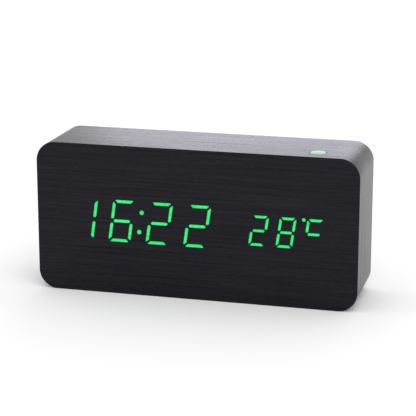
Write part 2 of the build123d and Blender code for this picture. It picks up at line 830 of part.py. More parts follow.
def coil_point(turn, start_x, inward, row_z):
    """Point on the coil and its direction, turn turns from the plate."""
    share = turn / coil_turns
    radius = coil_base_radius + (coil_tip_radius - coil_base_radius) * share
    rise = spring_length - 2 * (wire_radius + rest_gap)
    angle = 2 * pi * turn
    x = start_x + inward * (wire_radius + rest_gap + rise * share)
    point = Vector(x, cell_y + radius * cos(angle), row_z + radius * sin(angle))
    shrink = (coil_tip_radius - coil_base_radius) / coil_turns
    along = Vector(
        inward * rise / coil_turns,
        shrink * cos(angle) - 2 * pi * radius * sin(angle),
        shrink * sin(angle) + 2 * pi * radius * cos(angle),
    )
    return point, along.normalized()


def biarc_joint(p0, t0, p1, t1):
    """Middle point of the two arcs that join p0 to p1 with end directions t0 and t1, and the line there."""
    v = p1 - p0
    spread = 2 * (1 - t0.dot(t1))
    across = v.dot(t0 + t1)
    reach = ((across**2 + spread * v.dot(v)) ** 0.5 - across) / spread
    q0 = p0 + t0 * reach
    q1 = p1 - t1 * reach
    return (q0 + q1) * 0.5, (q1 - q0).normalized()


def least_coil_gap(points):
    """Least clear distance between windings, taken between points half a turn or more apart."""
    near = samples_per_turn // 2
    pairs = (dist(a, b) for i, a in enumerate(points) for b in points[i + near:])
    return min(pairs) - 2 * wire_radius


with BuildPart() as contact_springs:
    for wall_x, inward, groups in contact_ends:
        start_x = wall_x + inward * (contact_gap + contact_thickness)
        for row_z in cell_rows:
            if plus_ends[cell_rows.index(row_z)] == -inward:
                continue
            stops = [
                coil_point(i / arcs_per_turn, start_x, inward, row_z)
                for i in range(coil_turns * arcs_per_turn + 1)
            ]
            with BuildLine() as coil:
                for (p0, t0), (p1, t1) in zip(stops, stops[1:]):
                    joint, joint_line = biarc_joint(p0, t0, p1, t1)
                    TangentArc(p0, joint, tangent=t0)
                    TangentArc(joint, p1, tangent=joint_line)
            with BuildSketch(Plane(origin=stops[0][0], z_dir=stops[0][1])):
                Circle(wire_radius)
            sweep(path=coil.wires()[0])
save(contact_springs, "contact_springs")
samples = [
    tuple(coil_point(i / samples_per_turn, bay_left_x, 1, mid_z)[0])
    for i in range(samples_per_turn * coil_turns + 1)
]
print(f"least gap between the turns of a contact spring: {least_coil_gap(samples):.2f} mm")

# Control board on the rear cover's bosses
with BuildPart() as control_board:
    with BuildSketch(depth_plane(control_rear_y)):
        with Locations((control_x, mid_z)):
            RectangleRounded(control_width, control_height, housing_radius)
        boss_circles(control_screw_radius + hole_gap, Mode.SUBTRACT)
    extrude(amount=board_thickness)
save(control_board, "control_board")

with BuildPart() as control_screws:
    with BuildSketch(depth_plane(control_front_y)):
        boss_circles(pan_head_radius)
    extrude(amount=pan_head_height)
    with BuildSketch(depth_plane(control_front_y)):
        boss_circles(control_screw_radius)
    extrude(amount=-(board_thickness + control_screw_bite))
save(control_screws, "control_screws")

# Tact switches: square bodies on the control board, each with a round plunger that its button presses
switch_size = 6.0
switch_height = 3.5
plunger_radius = 1.7
plunger_proud = 1.5
plunger_sunk = 1.0
plunger_gap = 0.2
well_depth = plunger_sunk + button_travel + plunger_gap
switch_top_y = control_rear_y + switch_height

with BuildPart() as tact_switches:
    with BuildSketch(depth_plane(control_rear_y)):
        with Locations(*[(button_x, z) for z in button_rows]):
            Rectangle(switch_size, switch_size)
    extrude(amount=-switch_height)
    with BuildSketch(depth_plane(switch_top_y)):
        with Locations(*[(button_x, z) for z in button_rows]):
            Circle(plunger_radius + plunger_gap)
    extrude(amount=well_depth, mode=Mode.SUBTRACT)
save(tact_switches, "tact_switches")

# Rear buttons: flanged round caps in the cover's holes, each resting on its switch's plunger
cap_flange_reach = 1.0
cap_flange_height = 1.0
cap_stem_radius = 1.6
cap_proud = 0.5
cap_crown = 0.25
cap_radius = button_diameter / 2
cap_flange_y = cover_inner_y - rest_gap
plunger_top_y = switch_top_y + plunger_proud

for name, row_z in zip(("set", "up", "down"), button_rows):
    with BuildPart() as plunger:
        with BuildSketch(depth_plane(switch_top_y - plunger_sunk)):
            with Locations((button_x, row_z)):
                Circle(plunger_radius)
        extrude(amount=-(plunger_sunk + plunger_proud))
    save(plunger, f"{name}_plunger")

    with BuildPart() as cap:
        with BuildSketch(Plane.XY.offset(row_z)):
            with BuildLine():
                Polyline(
                    (button_x, cover_face_y + cap_proud),
                    (button_x, plunger_top_y),
                    (button_x + cap_stem_radius, plunger_top_y),
                    (button_x + cap_stem_radius, cap_flange_y - cap_flange_height),
                    (button_x + cap_radius + cap_flange_reach, cap_flange_y - cap_flange_height),
                    (button_x + cap_radius + cap_flange_reach, cap_flange_y),
                    (button_x + cap_radius, cap_flange_y),
                    (button_x + cap_radius, cover_face_y + cap_proud - cap_crown),
                )
                RadiusArc(
                    (button_x + cap_radius, cover_face_y + cap_proud - cap_crown),
                    (button_x, cover_face_y + cap_proud),
                    -(cap_radius**2 + cap_crown**2) / (2 * cap_crown),
                )
            make_face()
        revolve(axis=Axis((button_x, 0, row_z), (0, 1, 0)))
    save(cap, f"{name}_button")

# Supply inlet: square body on the control board with a round nose in the cover's hole
inlet_z = mid_z + inlet_rise
inlet_bore_radius = 1.85
inlet_bore_depth = 7.5
inlet_pin_radius = 0.6
inlet_pin_setback = 1.0
inlet_nose_y = cover_face_y - inlet_nose_setback

with BuildPart() as supply_inlet:
    with BuildSketch(depth_plane(control_rear_y)):
        with Locations((inlet_x, inlet_z)):
            Rectangle(inlet_size, inlet_size)
    extrude(amount=-(boss_length - rest_gap))
    with BuildSketch(depth_plane(inlet_nose_y)):
        with Locations((inlet_x, inlet_z)):
            Circle(inlet_nose_radius)
    extrude(amount=inlet_nose_y - cover_inner_y + rest_gap)
    with BuildSketch(depth_plane(inlet_nose_y)):
        with Locations((inlet_x, inlet_z)):
            Circle(inlet_bore_radius)
    extrude(amount=inlet_bore_depth, mode=Mode.SUBTRACT)
save(supply_inlet, "supply_inlet")

with BuildPart() as supply_inlet_pin:
    with BuildSketch(depth_plane(inlet_nose_y - inlet_bore_depth)):
        with Locations((inlet_x, inlet_z)):
            Circle(inlet_pin_radius)
    extrude(amount=inlet_pin_setback - inlet_bore_depth)
save(supply_inlet_pin, "supply_inlet_pin")

# Microphone capsule behind the sound hole, for waking the display by a clap
capsule_radius = 3.0
capsule_height = 2.7
with BuildPart() as microphone:
    with BuildSketch(depth_plane(control_rear_y)):
        with Locations((sound_x, mid_z + sound_rise)):
            Circle(capsule_radius)
    extrude(amount=-capsule_height)
save(microphone, "microphone")

# Temperature sensor: bead on two legs behind the vent slots
bead_radius = 1.2
leg_radius = 0.3
leg_spread = 1.4
leg_length = 4.5
with BuildPart() as temperature_sensor:
    with BuildSketch(depth_plane(control_rear_y)):
        with Locations((vent_x, mid_z + vent_rise)):
            with GridLocations(leg_spread, 0, 2, 1):
                Circle(leg_radius)
    extrude(amount=-leg_length)
    with Locations((vent_x, control_rear_y + leg_length, mid_z + vent_rise)):
        Sphere(bead_radius)
save(temperature_sensor, "temperature_sensor")

# Alarm buzzer on the front of the control board: round can with a sound hole
buzzer_x = control_x
buzzer_rise = 8.0
buzzer_radius = 6.0
buzzer_height = 5.0
buzzer_hole_radius = 1.0
buzzer_hole_depth = 1.0
with BuildPart() as buzzer:
    with BuildSketch(depth_plane(control_front_y)):
        with Locations((buzzer_x, mid_z + buzzer_rise)):
            Circle(buzzer_radius)
    extrude(amount=buzzer_height)
    with BuildSketch(depth_plane(control_front_y - buzzer_height)):
        with Locations((buzzer_x, mid_z + buzzer_rise)):
            Circle(buzzer_hole_radius)
    extrude(amount=-buzzer_hole_depth, mode=Mode.SUBTRACT)
save(buzzer, "buzzer")

# Board link: pins of a header strip on the control board in a socket on the display board
header_x = control_x
header_rise = -9.0
pin_pitch = 2.54
pin_columns = 5
pin_rows = 2
pin_size = 0.64
pin_gap = 0.1
pin_engaged = 5.0
strip_height = 2.5
strip_width = pin_columns * pin_pitch
strip_depth = pin_rows * pin_pitch
link_y = control_front_y - strip_height


def header_outline(pin_hole):
    with Locations((header_x, mid_z + header_rise)):
        Rectangle(strip_width, strip_depth)
        with GridLocations(pin_pitch, pin_pitch, pin_columns, pin_rows):
            Rectangle(pin_hole, pin_hole, mode=Mode.SUBTRACT)


with BuildPart() as header_strip:
    with BuildSketch(depth_plane(control_front_y)):
        header_outline(pin_size)
    extrude(amount=strip_height)
save(header_strip, "header_strip")

with BuildPart() as header_socket:
    with BuildSketch(depth_plane(link_y)):
        header_outline(pin_size + 2 * pin_gap)
    extrude(amount=link_y - display_rear_y)
save(header_socket, "header_socket")

with BuildPart() as header_pins:
    with BuildSketch(depth_plane(control_front_y)):
        with Locations((header_x, mid_z + header_rise)):
            with GridLocations(pin_pitch, pin_pitch, pin_columns, pin_rows):
                Rectangle(pin_size, pin_size)
    extrude(amount=strip_height + pin_engaged)
save(header_pins, "header_pins")

# Battery leads: from the two solder tabs along the front of the bay to the control board
lead_radius = 0.6
lead_y = bay_front_y - tab_length / 2
lead_pad_x = control_x + control_width / 2 - boss_inset
bend_share = 0.45


def lead_radii(points):
    """Largest bend at each corner of a lead that its two runs allow."""
    radii = []
    for before, corner, after in zip(points, points[1:], points[2:]):
        run_in = Vector(*corner) - Vector(*before)
        run_out = Vector(*after) - Vector(*corner)
        turn = radians(run_in.get_angle(run_out))
        radii.append(bend_share * min(run_in.length, run_out.length) / tan(turn / 2))
    return radii


plus_tab_x = bay_left_x + contact_gap
plus_route = [
    (plus_tab_x, lead_y, cell_rows[0]),
    (lead_pad_x, lead_y, cell_rows[0]),
    (lead_pad_x, control_front_y, cell_rows[0]),
]
minus_tab_x = bay_right_x - contact_gap - contact_thickness
minus_sag = 1.2
minus_route = [
    (minus_tab_x, lead_y, cell_rows[-1]),
    (bay_x, lead_y, cell_rows[-1] - minus_sag),
    (bay_left_x, lead_y, cell_rows[-1]),
    (lead_pad_x, lead_y, cell_rows[-1] + minus_sag),
    (lead_pad_x, control_front_y, cell_rows[-1] + minus_sag),
]

for name, route in (("plus", plus_route), ("minus", minus_route)):
    radii = lead_radii(route)
    print(f"{name} lead bends: {[round(radius, 1) for radius in radii]}")
    with BuildPart() as battery_lead:
        with BuildLine() as lead_line:
            FilletPolyline(*route, radius=radii)
        with BuildSketch(Plane(origin=lead_line.wires()[0] @ 0, z_dir=lead_line.wires()[0] % 0)):
            Circle(lead_radius)
        sweep(path=lead_line.wires()[0])
    save(battery_lead, f"{name}_lead")

# Snooze button: flanged cap with a low dome, in a hole through the top of the sleeve
snooze_flange_reach = 1.3
snooze_flange_height = 1.0
snooze_stem_length = 1.2
snooze_rim = 0.1
snooze_crown = 0.5
snooze_radius = snooze_diameter / 2
snooze_flange_z = inner_top_z - rest_gap
snooze_flange_low_z = snooze_flange_z - snooze_flange_height
snooze_plunger_z = snooze_flange_low_z - snooze_stem_length
snooze_flange_radius = snooze_radius + snooze_flange_reach

with BuildPart() as snooze_button:
    with BuildSketch(depth_plane(snooze_y)):
        with BuildLine():
            Polyline(
                (snooze_x, case_height + snooze_rim + snooze_crown),
                (snooze_x, snooze_plunger_z),
                (snooze_x + cap_stem_radius, snooze_plunger_z),
                (snooze_x + cap_stem_radius, snooze_flange_low_z),
                (snooze_x + snooze_flange_radius, snooze_flange_low_z),
                (snooze_x + snooze_flange_radius, snooze_flange_z),
                (snooze_x + snooze_radius, snooze_flange_z),
                (snooze_x + snooze_radius, case_height + snooze_rim),
            )
            RadiusArc(
                (snooze_x + snooze_radius, case_height + snooze_rim),
                (snooze_x, case_height + snooze_rim + snooze_crown),
                -(snooze_radius**2 + snooze_crown**2) / (2 * snooze_crown),
            )
        make_face()
    revolve(axis=Axis((snooze_x, snooze_y, 0), (0, 0, 1)))
save(snooze_button, "snooze_button")

# Snooze switch on its own small board, hung under the top wall on two spacers
snooze_board_length = 22.0
snooze_board_front = 5.4
snooze_board_back = 6.6
snooze_switch_z = snooze_plunger_z - plunger_proud
snooze_board_z = snooze_switch_z - switch_height

with BuildPart() as snooze_plunger:
    with BuildSketch(Plane.XY.offset(snooze_switch_z - plunger_sunk)):
        with Locations((snooze_x, snooze_y)):
            Circle(plunger_radius)
    extrude(amount=plunger_sunk + plunger_proud)
save(snooze_plunger, "snooze_plunger")

with BuildPart() as snooze_switch:
    with BuildSketch(Plane.XY.offset(snooze_board_z)):
        with Locations((snooze_x, snooze_y)):
            Rectangle(switch_size, switch_size)
    extrude(amount=switch_height)
    with BuildSketch(Plane.XY.offset(snooze_switch_z)):
        with Locations((snooze_x, snooze_y)):
            Circle(plunger_radius + plunger_gap)
    extrude(amount=-well_depth, mode=Mode.SUBTRACT)
save(snooze_switch, "snooze_switch")


def snooze_screw_circles(radius, mode=Mode.ADD):
    with Locations((snooze_x, snooze_y)):
        with GridLocations(snooze_spread, 0, 2, 1):
            Circle(radius, mode=mode)


with BuildPart() as snooze_board:
    with BuildSketch(Plane.XY.offset(snooze_board_z)):
        with Locations((snooze_x, snooze_y + (snooze_board_back - snooze_board_front) / 2)):
            Rectangle(snooze_board_length, snooze_board_back + snooze_board_front)
        snooze_screw_circles(snooze_screw_radius + hole_gap, Mode.SUBTRACT)
    extrude(amount=-board_thickness)
save(snooze_board, "snooze_board")

spacer_radius = 2.2
with BuildPart() as snooze_spacers:
    with BuildSketch(Plane.XY.offset(snooze_board_z)):
        snooze_screw_circles(spacer_radius)
        snooze_screw_circles(snooze_screw_radius + hole_gap, Mode.SUBTRACT)
    extrude(amount=inner_top_z - snooze_board_z)
save(snooze_spacers, "snooze_spacers")

with BuildPart() as snooze_screws:
    with BuildSketch(Plane.XY.offset(snooze_board_z - board_thickness)):
        snooze_screw_circles(pan_head_radius)
    extrude(amount=-pan_head_height)
    with BuildSketch(Plane.XY.offset(snooze_board_z - board_thickness)):
        snooze_screw_circles(snooze_screw_radius)
    extrude(amount=board_thickness + inner_top_z - snooze_board_z + snooze_screw_bite)
save(snooze_screws, "snooze_screws")

# Snooze lead: two wires from the small board down to a connector on the back of the display board
connector_width = 6.0
connector_height = 4.5
connector_depth = 5.0
connector_rise = 10.0
connector_inset = 6.0
connector_x = housing_x + display_screw_step_x / 2 - connector_inset
wire_spread = 2.0
snooze_wire_radius = 0.5
snooze_wire_end_share = 0.3
connector_top_z = mid_z + connector_rise + connector_height / 2
connector_mid_y = display_rear_y + connector_depth / 2
snooze_pad_y = snooze_y + snooze_board_back - 2 * snooze_wire_radius
snooze_low_z = snooze_board_z - board_thickness

with BuildPart() as snooze_connector:
    with BuildSketch(depth_plane(display_rear_y)):
        with Locations((connector_x, mid_z + connector_rise)):
            Rectangle(connector_width, connector_height)
    extrude(amount=-connector_depth)
save(snooze_connector, "snooze_connector")

with BuildPart() as snooze_lead:
    for wire_offset in (-wire_spread / 2, wire_spread / 2):
        wire_end = snooze_wire_end_share * (snooze_low_z - connector_top_z)
        wire_route = [
            (snooze_x + wire_offset, snooze_pad_y, snooze_low_z),
            (snooze_x + wire_offset, snooze_pad_y, snooze_low_z - wire_end),
            (connector_x + wire_offset, connector_mid_y, connector_top_z + wire_end),
            (connector_x + wire_offset, connector_mid_y, connector_top_z),
        ]
        with BuildLine() as wire_line:
            FilletPolyline(*wire_route, radius=lead_radii(wire_route))
        with BuildSketch(Plane(origin=wire_line.wires()[0] @ 0, z_dir=wire_line.wires()[0] % 0)):
            Circle(snooze_wire_radius)
        sweep(path=wire_line.wires()[0])
save(snooze_lead, "snooze_lead")
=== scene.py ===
import json
from math import cos, pi, radians, sin

import bmesh
import bpy
from mathutils import Matrix, Vector

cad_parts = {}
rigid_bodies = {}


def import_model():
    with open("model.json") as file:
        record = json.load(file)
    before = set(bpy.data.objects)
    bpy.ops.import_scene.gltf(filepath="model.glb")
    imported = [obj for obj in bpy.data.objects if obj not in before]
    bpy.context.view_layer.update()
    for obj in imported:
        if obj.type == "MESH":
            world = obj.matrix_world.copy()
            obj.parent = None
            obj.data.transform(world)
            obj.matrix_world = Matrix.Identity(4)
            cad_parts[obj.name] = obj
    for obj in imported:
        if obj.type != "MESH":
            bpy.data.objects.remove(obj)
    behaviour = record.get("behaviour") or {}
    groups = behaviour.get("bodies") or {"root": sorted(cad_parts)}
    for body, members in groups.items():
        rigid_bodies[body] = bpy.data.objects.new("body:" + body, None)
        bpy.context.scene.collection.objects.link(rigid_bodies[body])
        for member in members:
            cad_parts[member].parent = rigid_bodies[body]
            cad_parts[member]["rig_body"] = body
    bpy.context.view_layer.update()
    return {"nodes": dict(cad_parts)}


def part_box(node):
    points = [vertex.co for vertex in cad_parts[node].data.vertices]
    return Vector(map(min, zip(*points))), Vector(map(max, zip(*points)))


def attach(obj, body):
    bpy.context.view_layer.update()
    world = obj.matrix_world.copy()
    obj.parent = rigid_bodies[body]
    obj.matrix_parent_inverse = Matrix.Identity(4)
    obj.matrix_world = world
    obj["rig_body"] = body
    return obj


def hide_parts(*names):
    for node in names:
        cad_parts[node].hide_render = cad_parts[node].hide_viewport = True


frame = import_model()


# Case sleeve: a ring of wood fibre board with large rounded corners, planed from glued strips.
# One strip of printed vinyl film is wrapped round it, over the rear edge, and butts underneath.
# The grain of the film runs round the ring. The wall of the hole for the snooze button is coloured near
# black: painted shade for the narrow gap round the button, where bare board would show.
MM = 0.001


def add_node(tree, kind, inputs=None, **settings):
    """New node with its settings. Its inputs are set to values or joined to other nodes' outputs."""
    node = tree.nodes.new(kind)
    for name, value in settings.items():
        setattr(node, name, value)
    for name, value in (inputs or {}).items():
        if isinstance(value, bpy.types.NodeSocket):
            tree.links.new(value, node.inputs[name])
        else:
            node.inputs[name].default_value = value
    return node


def new_finish(name, sockets):
    """New material and its Principled shader, with the sockets that are the same all over."""
    finish = bpy.data.materials.new(name)
    finish.use_nodes = True
    shader = finish.node_tree.nodes["Principled BSDF"]
    for socket, value in sockets.items():
        shader.inputs[socket].default_value = value
    return finish, finish.node_tree, shader


def new_piece(name, mesh, body, slot, *nodes):
    """Mesh as a piece of the object, on its body, in place of the solids named."""
    piece = bpy.data.objects.new(name, mesh)
    bpy.context.scene.collection.objects.link(piece)
    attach(piece, body)
    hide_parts(*nodes)
    return piece


def applied(piece):
    """The piece's mesh with its modifiers worked in, which are then removed."""
    depsgraph = bpy.context.evaluated_depsgraph_get()
    mesh = bpy.data.meshes.new_from_object(piece.evaluated_get(depsgraph))
    piece.modifiers.clear()
    return mesh


def film_grain_group():
    """Printed wood grain: long fibres, short pores and broad bands, along the place's first axis."""
    group = bpy.data.node_groups.new("film grain", "ShaderNodeTree")
    group.interface.new_socket("Place", in_out="INPUT", socket_type="NodeSocketVector")
    for output in ("Fibres", "Pores", "Bands"):
        group.interface.new_socket(output, in_out="OUTPUT", socket_type="NodeSocketFloat")
    entry = group.nodes.new("NodeGroupInput")
    exit_node = group.nodes.new("NodeGroupOutput")
    layers = {
        "Fibres": (60 * MM, 1.10 * MM, 3.0, 0.60),
        "Pores": (3.2 * MM, 0.60 * MM, 2.0, 0.55),
        "Bands": (90 * MM, 6.0 * MM, 3.0, 0.5),
    }
    for output, (length, width, detail, roughness) in layers.items():
        stretched = add_node(
            group,
            "ShaderNodeVectorMath",
            {0: entry.outputs["Place"], 1: (1 / length, 1 / width, 1 / width)},
            operation="MULTIPLY",
        )
        noise = add_node(
            group,
            "ShaderNodeTexNoise",
            {"Vector": stretched.outputs[0], "Scale": 1.0, "Detail": detail, "Roughness": roughness},
        )
        group.links.new(noise.outputs["Fac"], exit_node.inputs[output])
    return group


film_grain = film_grain_group()
film_dark = (0.0016, 0.0016, 0.0022, 1)
film_light = (0.0052, 0.0050, 0.0068, 1)
film_sheen = (0.80, 0.78, 1.0, 1)
film_relief = 0.06 * MM
band_share = 0.4
pore_share = 0.8
pore_depth = 0.6


def film_finish(name, place_from):
    """Satin black film with printed grain, laid out from the place that place_from gives."""
    finish, tree, shader = new_finish(
        name, {"Specular IOR Level": 0.16, "Specular Tint": film_sheen, "Coat Roughness": 0.28}
    )
    grain = add_node(tree, "ShaderNodeGroup", node_tree=film_grain)
    tree.links.new(place_from(tree), grain.inputs["Place"])
    streaks = add_node(
        tree,
        "ShaderNodeMath",
        {0: grain.outputs["Bands"], 1: band_share, 2: grain.outputs["Fibres"]},
        operation="MULTIPLY_ADD",
    )
    tone = add_node(
        tree, "ShaderNodeMapRange", {"Value": streaks.outputs[0], "From Min": 0.45, "From Max": 0.95}
    )
    colour = add_node(
        tree,
        "ShaderNodeMix",
        {"Factor": tone.outputs["Result"], "A": film_dark, "B": film_light},
        data_type="RGBA",
    )
    fibres = grain.outputs["Fibres"]
    gloss = add_node(
        tree,
        "ShaderNodeMapRange",
        {"Value": fibres, "From Min": 0.3, "From Max": 0.7, "To Min": 0.36, "To Max": 0.26},
    )
    marks = add_node(
        tree,
        "ShaderNodeMath",
        {0: grain.outputs["Pores"], 1: pore_share, 2: fibres},
        operation="MULTIPLY_ADD",
    )
    lacquer = add_node(
        tree,
        "ShaderNodeMapRange",
        {"Value": marks.outputs[0], "From Min": 0.62, "From Max": 1.18, "To Min": 0.0, "To Max": 0.22},
    )
    pores = add_node(
        tree,
        "ShaderNodeMapRange",
        {"Value": grain.outputs["Pores"], "From Min": 0.58, "From Max": 0.66, "To Max": -pore_depth},
    )
    relief = add_node(tree, "ShaderNodeMath", {0: fibres, 1: pores.outputs["Result"]}, operation="ADD")
    bump = add_node(
        tree, "ShaderNodeBump", {"Strength": 1.0, "Distance": film_relief, "Height": relief.outputs[0]}
    )
    tree.links.new(colour.outputs["Result"], shader.inputs["Base Color"])
    tree.links.new(gloss.outputs["Result"], shader.inputs["Roughness"])
    tree.links.new(lacquer.outputs["Result"], shader.inputs["Coat Weight"])
    tree.links.new(bump.outputs["Normal"], shader.inputs["Normal"])
    return finish


def wrap_place(tree):
    """Grain along the way round the sleeve."""
    return add_node(tree, "ShaderNodeUVMap", uv_map="wrap").outputs["UV"]


def upright_place(tree):
    """Grain along X on the upright front and back."""
    place = add_node(tree, "ShaderNodeTexCoord").outputs["Object"]
    parts = add_node(tree, "ShaderNodeSeparateXYZ", {"Vector": place}).outputs
    return add_node(tree, "ShaderNodeCombineXYZ", {"X": parts["X"], "Y": parts["Z"]}).outputs["Vector"]


wrap_film = film_finish("wrap film", wrap_place)
panel_film = film_finish("panel film", upright_place)


def fibre_board_finish(name, deep, pale):
    """Pressed fibres with darker flecks."""
    finish, tree, shader = new_finish(name, {"Roughness": 0.85})
    place = add_node(tree, "ShaderNodeTexCoord").outputs["Object"]
    noise = add_node(tree, "ShaderNodeTexNoise", {"Vector": place, "Scale": 1600.0, "Detail": 4.0})
    flecks = noise.outputs["Fac"]
    colour = add_node(
        tree, "ShaderNodeMix", {"Factor": flecks, "A": (*deep, 1), "B": (*pale, 1)}, data_type="RGBA"
    )
    bump = add_node(
        tree, "ShaderNodeBump", {"Strength": 0.4, "Distance": 0.05 * MM, "Height": flecks}
    )
    tree.links.new(colour.outputs["Result"], shader.inputs["Base Color"])
    tree.links.new(bump.outputs["Normal"], shader.inputs["Normal"])
    return finish


fibre_board = fibre_board_finish("fibre board", (0.20, 0.13, 0.08), (0.50, 0.37, 0.25))
# Near-black board: painted shade for the wall of the snooze button's hole.
hole_shade_board = fibre_board_finish("board painted dark as shade", (0.010, 0.010, 0.011), (0.030, 0.030, 0.032))

sleeve_low, sleeve_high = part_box("case_sleeve")
corner_radius = 9.0 * MM
sleeve_wall = 5.0 * MM
sleeve_lip = 2.5 * MM
front_rabbet = 3.0 * MM
rear_rabbet = 5.0 * MM
rear_round = 0.5 * MM
seam_width = 0.16 * MM
seam_depth = 0.10 * MM
corner_steps = 32
round_steps = 6
turned_edge = radians(40)


def sleeve_path():
    """Stations round the ring from the seam underneath: place and inward direction, and distances."""
    middle = sleeve_high.x - corner_radius
    low, high = sleeve_low.z + corner_radius, sleeve_high.z - corner_radius
    upward = Vector((0, 0, 1))
    seam = Vector((0, 0, sleeve_low.z))
    seam_edge = Vector((seam_width / 2, 0, 0))
    stations = [(seam, upward), (seam + seam_edge, upward)]
    corners = ((middle, low, -90), (middle, high, 0), (-middle, high, 90), (-middle, low, 180))
    for centre_x, centre_z, start in corners:
        for step in range(corner_steps + 1):
            angle = radians(start + 90 * step / corner_steps)
            outward = Vector((cos(angle), 0, sin(angle)))
            stations.append((Vector((centre_x, 0, centre_z)) + outward * corner_radius, -outward))
    stations += [(seam - seam_edge, upward), (seam, upward)]
    distances = [0.0]
    for (before, _), (after, _) in zip(stations, stations[1:]):
        distances.append(distances[-1] + (after - before).length)
    return stations, distances


def sleeve_section():
    """Points round the ring's section, as depth inwards and place in Y, and how many carry film."""
    front, rear = sleeve_low.y, sleeve_high.y
    points = [(0.0, front)]
    for step in range(round_steps + 1):
        angle = pi / 2 * step / round_steps
        points.append((rear_round * (1 - cos(angle)), rear - rear_round * (1 - sin(angle))))
    points += [(sleeve_lip, rear), (sleeve_lip, rear - rear_rabbet)]
    film_points = len(points)
    points += [(sleeve_wall, rear - rear_rabbet), (sleeve_wall, front + front_rabbet)]
    points += [(sleeve_lip, front + front_rabbet), (sleeve_lip, front)]
    return points, film_points


def sleeve_mesh():
    """The section swept round the ring, with film outside and bare board inside."""
    stations, distances = sleeve_path()
    section, film_points = sleeve_section()
    ring = bmesh.new()
    wrap = ring.loops.layers.uv.new("wrap")
    rows = []
    for index, (place, inward) in enumerate(stations):
        at_seam = index in (0, len(stations) - 1)
        row = []
        for number, (depth, y) in enumerate(section):
            sunk = seam_depth if at_seam and number < film_points - 1 else 0.0
            row.append(ring.verts.new(place + inward * (depth + sunk) + Vector((0, y, 0))))
        rows.append(row)
    run = [0.0]
    for before, after in zip(section, section[1:]):
        run.append(run[-1] + (Vector(after) - Vector(before)).length)
    run.append(run[-1] + sleeve_lip)
    count = len(section)
    for station in range(len(stations) - 1):
        for number in range(count):
            after = (number + 1) % count
            corners = (
                (rows[station][number], distances[station], run[number]),
                (rows[station + 1][number], distances[station + 1], run[number]),
                (rows[station + 1][after], distances[station + 1], run[number + 1]),
                (rows[station][after], distances[station], run[number + 1]),
            )
            face = ring.faces.new([corner[0] for corner in corners])
            face.smooth = True
            face.material_index = 0 if number < film_points - 1 else 1
            for loop, (_, along, across) in zip(face.loops, corners):
                loop[wrap].uv = (along, across)
    bmesh.ops.remove_doubles(ring, verts=ring.verts, dist=0.001 * MM)
    bmesh.ops.recalc_face_normals(ring, faces=ring.faces)
    mesh = bpy.data.meshes.new("case_sleeve_wrapped")
    ring.to_mesh(mesh)
    ring.free()
    mesh.materials.append(wrap_film)
    mesh.materials.append(fibre_board)
    mesh.set_sharp_from_angle(angle=turned_edge)
    return mesh


def lathe(profile, centre, axis, steps):
    """Turned solid from (radius, height) points, with its heights measured along axis from centre."""
    turned = bmesh.new()
    points = [turned.verts.new((radius, 0, height)) for radius, height in profile]
    edges = [turned.edges.new(pair) for pair in zip(points, points[1:])]
    bmesh.ops.spin(
        turned,
        geom=points + edges,
        cent=(0, 0, 0),
        axis=(0, 0, 1),
        angle=2 * pi,
        steps=steps,
        use_duplicate=False,
    )
    bmesh.ops.remove_doubles(turned, verts=turned.verts, dist=0.0005 * MM)
    bmesh.ops.recalc_face_normals(turned, faces=turned.faces)
    turn = Vector((0, 0, 1)).rotation_difference(Vector(axis)).to_matrix().to_4x4()
    bmesh.ops.transform(turned, matrix=Matrix.Translation(centre) @ turn, verts=turned.verts)
    for face in turned.faces:
        face.smooth = True
    mesh = bpy.data.meshes.new("turned")
    turned.to_mesh(mesh)
    turned.free()
    mesh.set_sharp_from_angle(angle=turned_edge)
    return mesh


snooze_low, snooze_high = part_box("snooze_button")
snooze_middle = (snooze_low + snooze_high) / 2
snooze_radius = 3.7 * MM
snooze_hole_gap = 0.2 * MM
hole_lip = 0.15 * MM
overrun = 1.0 * MM
round_sides = 64

sleeve = bpy.data.objects.new("case_sleeve_blank", sleeve_mesh())
bpy.context.scene.collection.objects.link(sleeve)
hole_radius = snooze_radius + snooze_hole_gap
hole_profile = [
    (0, -sleeve_wall - overrun),
    (hole_radius, -sleeve_wall - overrun),
    (hole_radius, -hole_lip),
    (hole_radius + hole_lip, 0),
    (hole_radius + hole_lip, overrun),
    (0, overrun),
]
hole_place = (snooze_middle.x, snooze_middle.y, sleeve_high.z)
cutter = bpy.data.objects.new("snooze_hole", lathe(hole_profile, hole_place, (0, 0, 1), round_sides))
# The hole's wall takes the near-black board, as painted shade in the gap round the button.
cutter.data.materials.append(hole_shade_board)
bpy.context.scene.collection.objects.link(cutter)
cut = sleeve.modifiers.new("snooze hole", "BOOLEAN")
cut.object = cutter
cut.operation = "DIFFERENCE"
cut.solver = "EXACT"
sleeve_cut = applied(sleeve)
bpy.data.objects.remove(sleeve)
bpy.data.objects.remove(cutter)
sleeve_cut.name = "case_sleeve_wrapped"
new_piece("case_sleeve_wrapped", sleeve_cut, "clock_case", "wrapped_board", "case_sleeve")


# Front panel: thin fibre board glued into the front rabbet, with a slot milled for every bar and dot.
# The film covers it, so only the light guides show through.


def wear(node, finish):
    """Gives a solid of the frame its finish."""
    slots = frame["nodes"][node].data.materials
    slots.clear()
    slots.append(finish)


wear("front_panel", fibre_board)


# Front film: one sheet of the same printed film, stretched over the panel and the edge of the sleeve.
# Its edge is folded round, and its grain lies level.
wear("front_film", panel_film)


# Light guides: milky acrylic bars pressed into the slots, each lit green from behind.
# The film over them lets the light through. Its grain dims it a little, and each bar fades at its rim.
lit_deep = (0.003, 0.77, 0.125, 1)
lit_bright = (0.048, 1.0, 0.275, 1)
lit_rim = (0.012, 0.44, 0.085, 1)
lit_rim_width = 0.26 * MM
lit_film = (0.004, 0.012, 0.006, 1)
square_on = 0.99


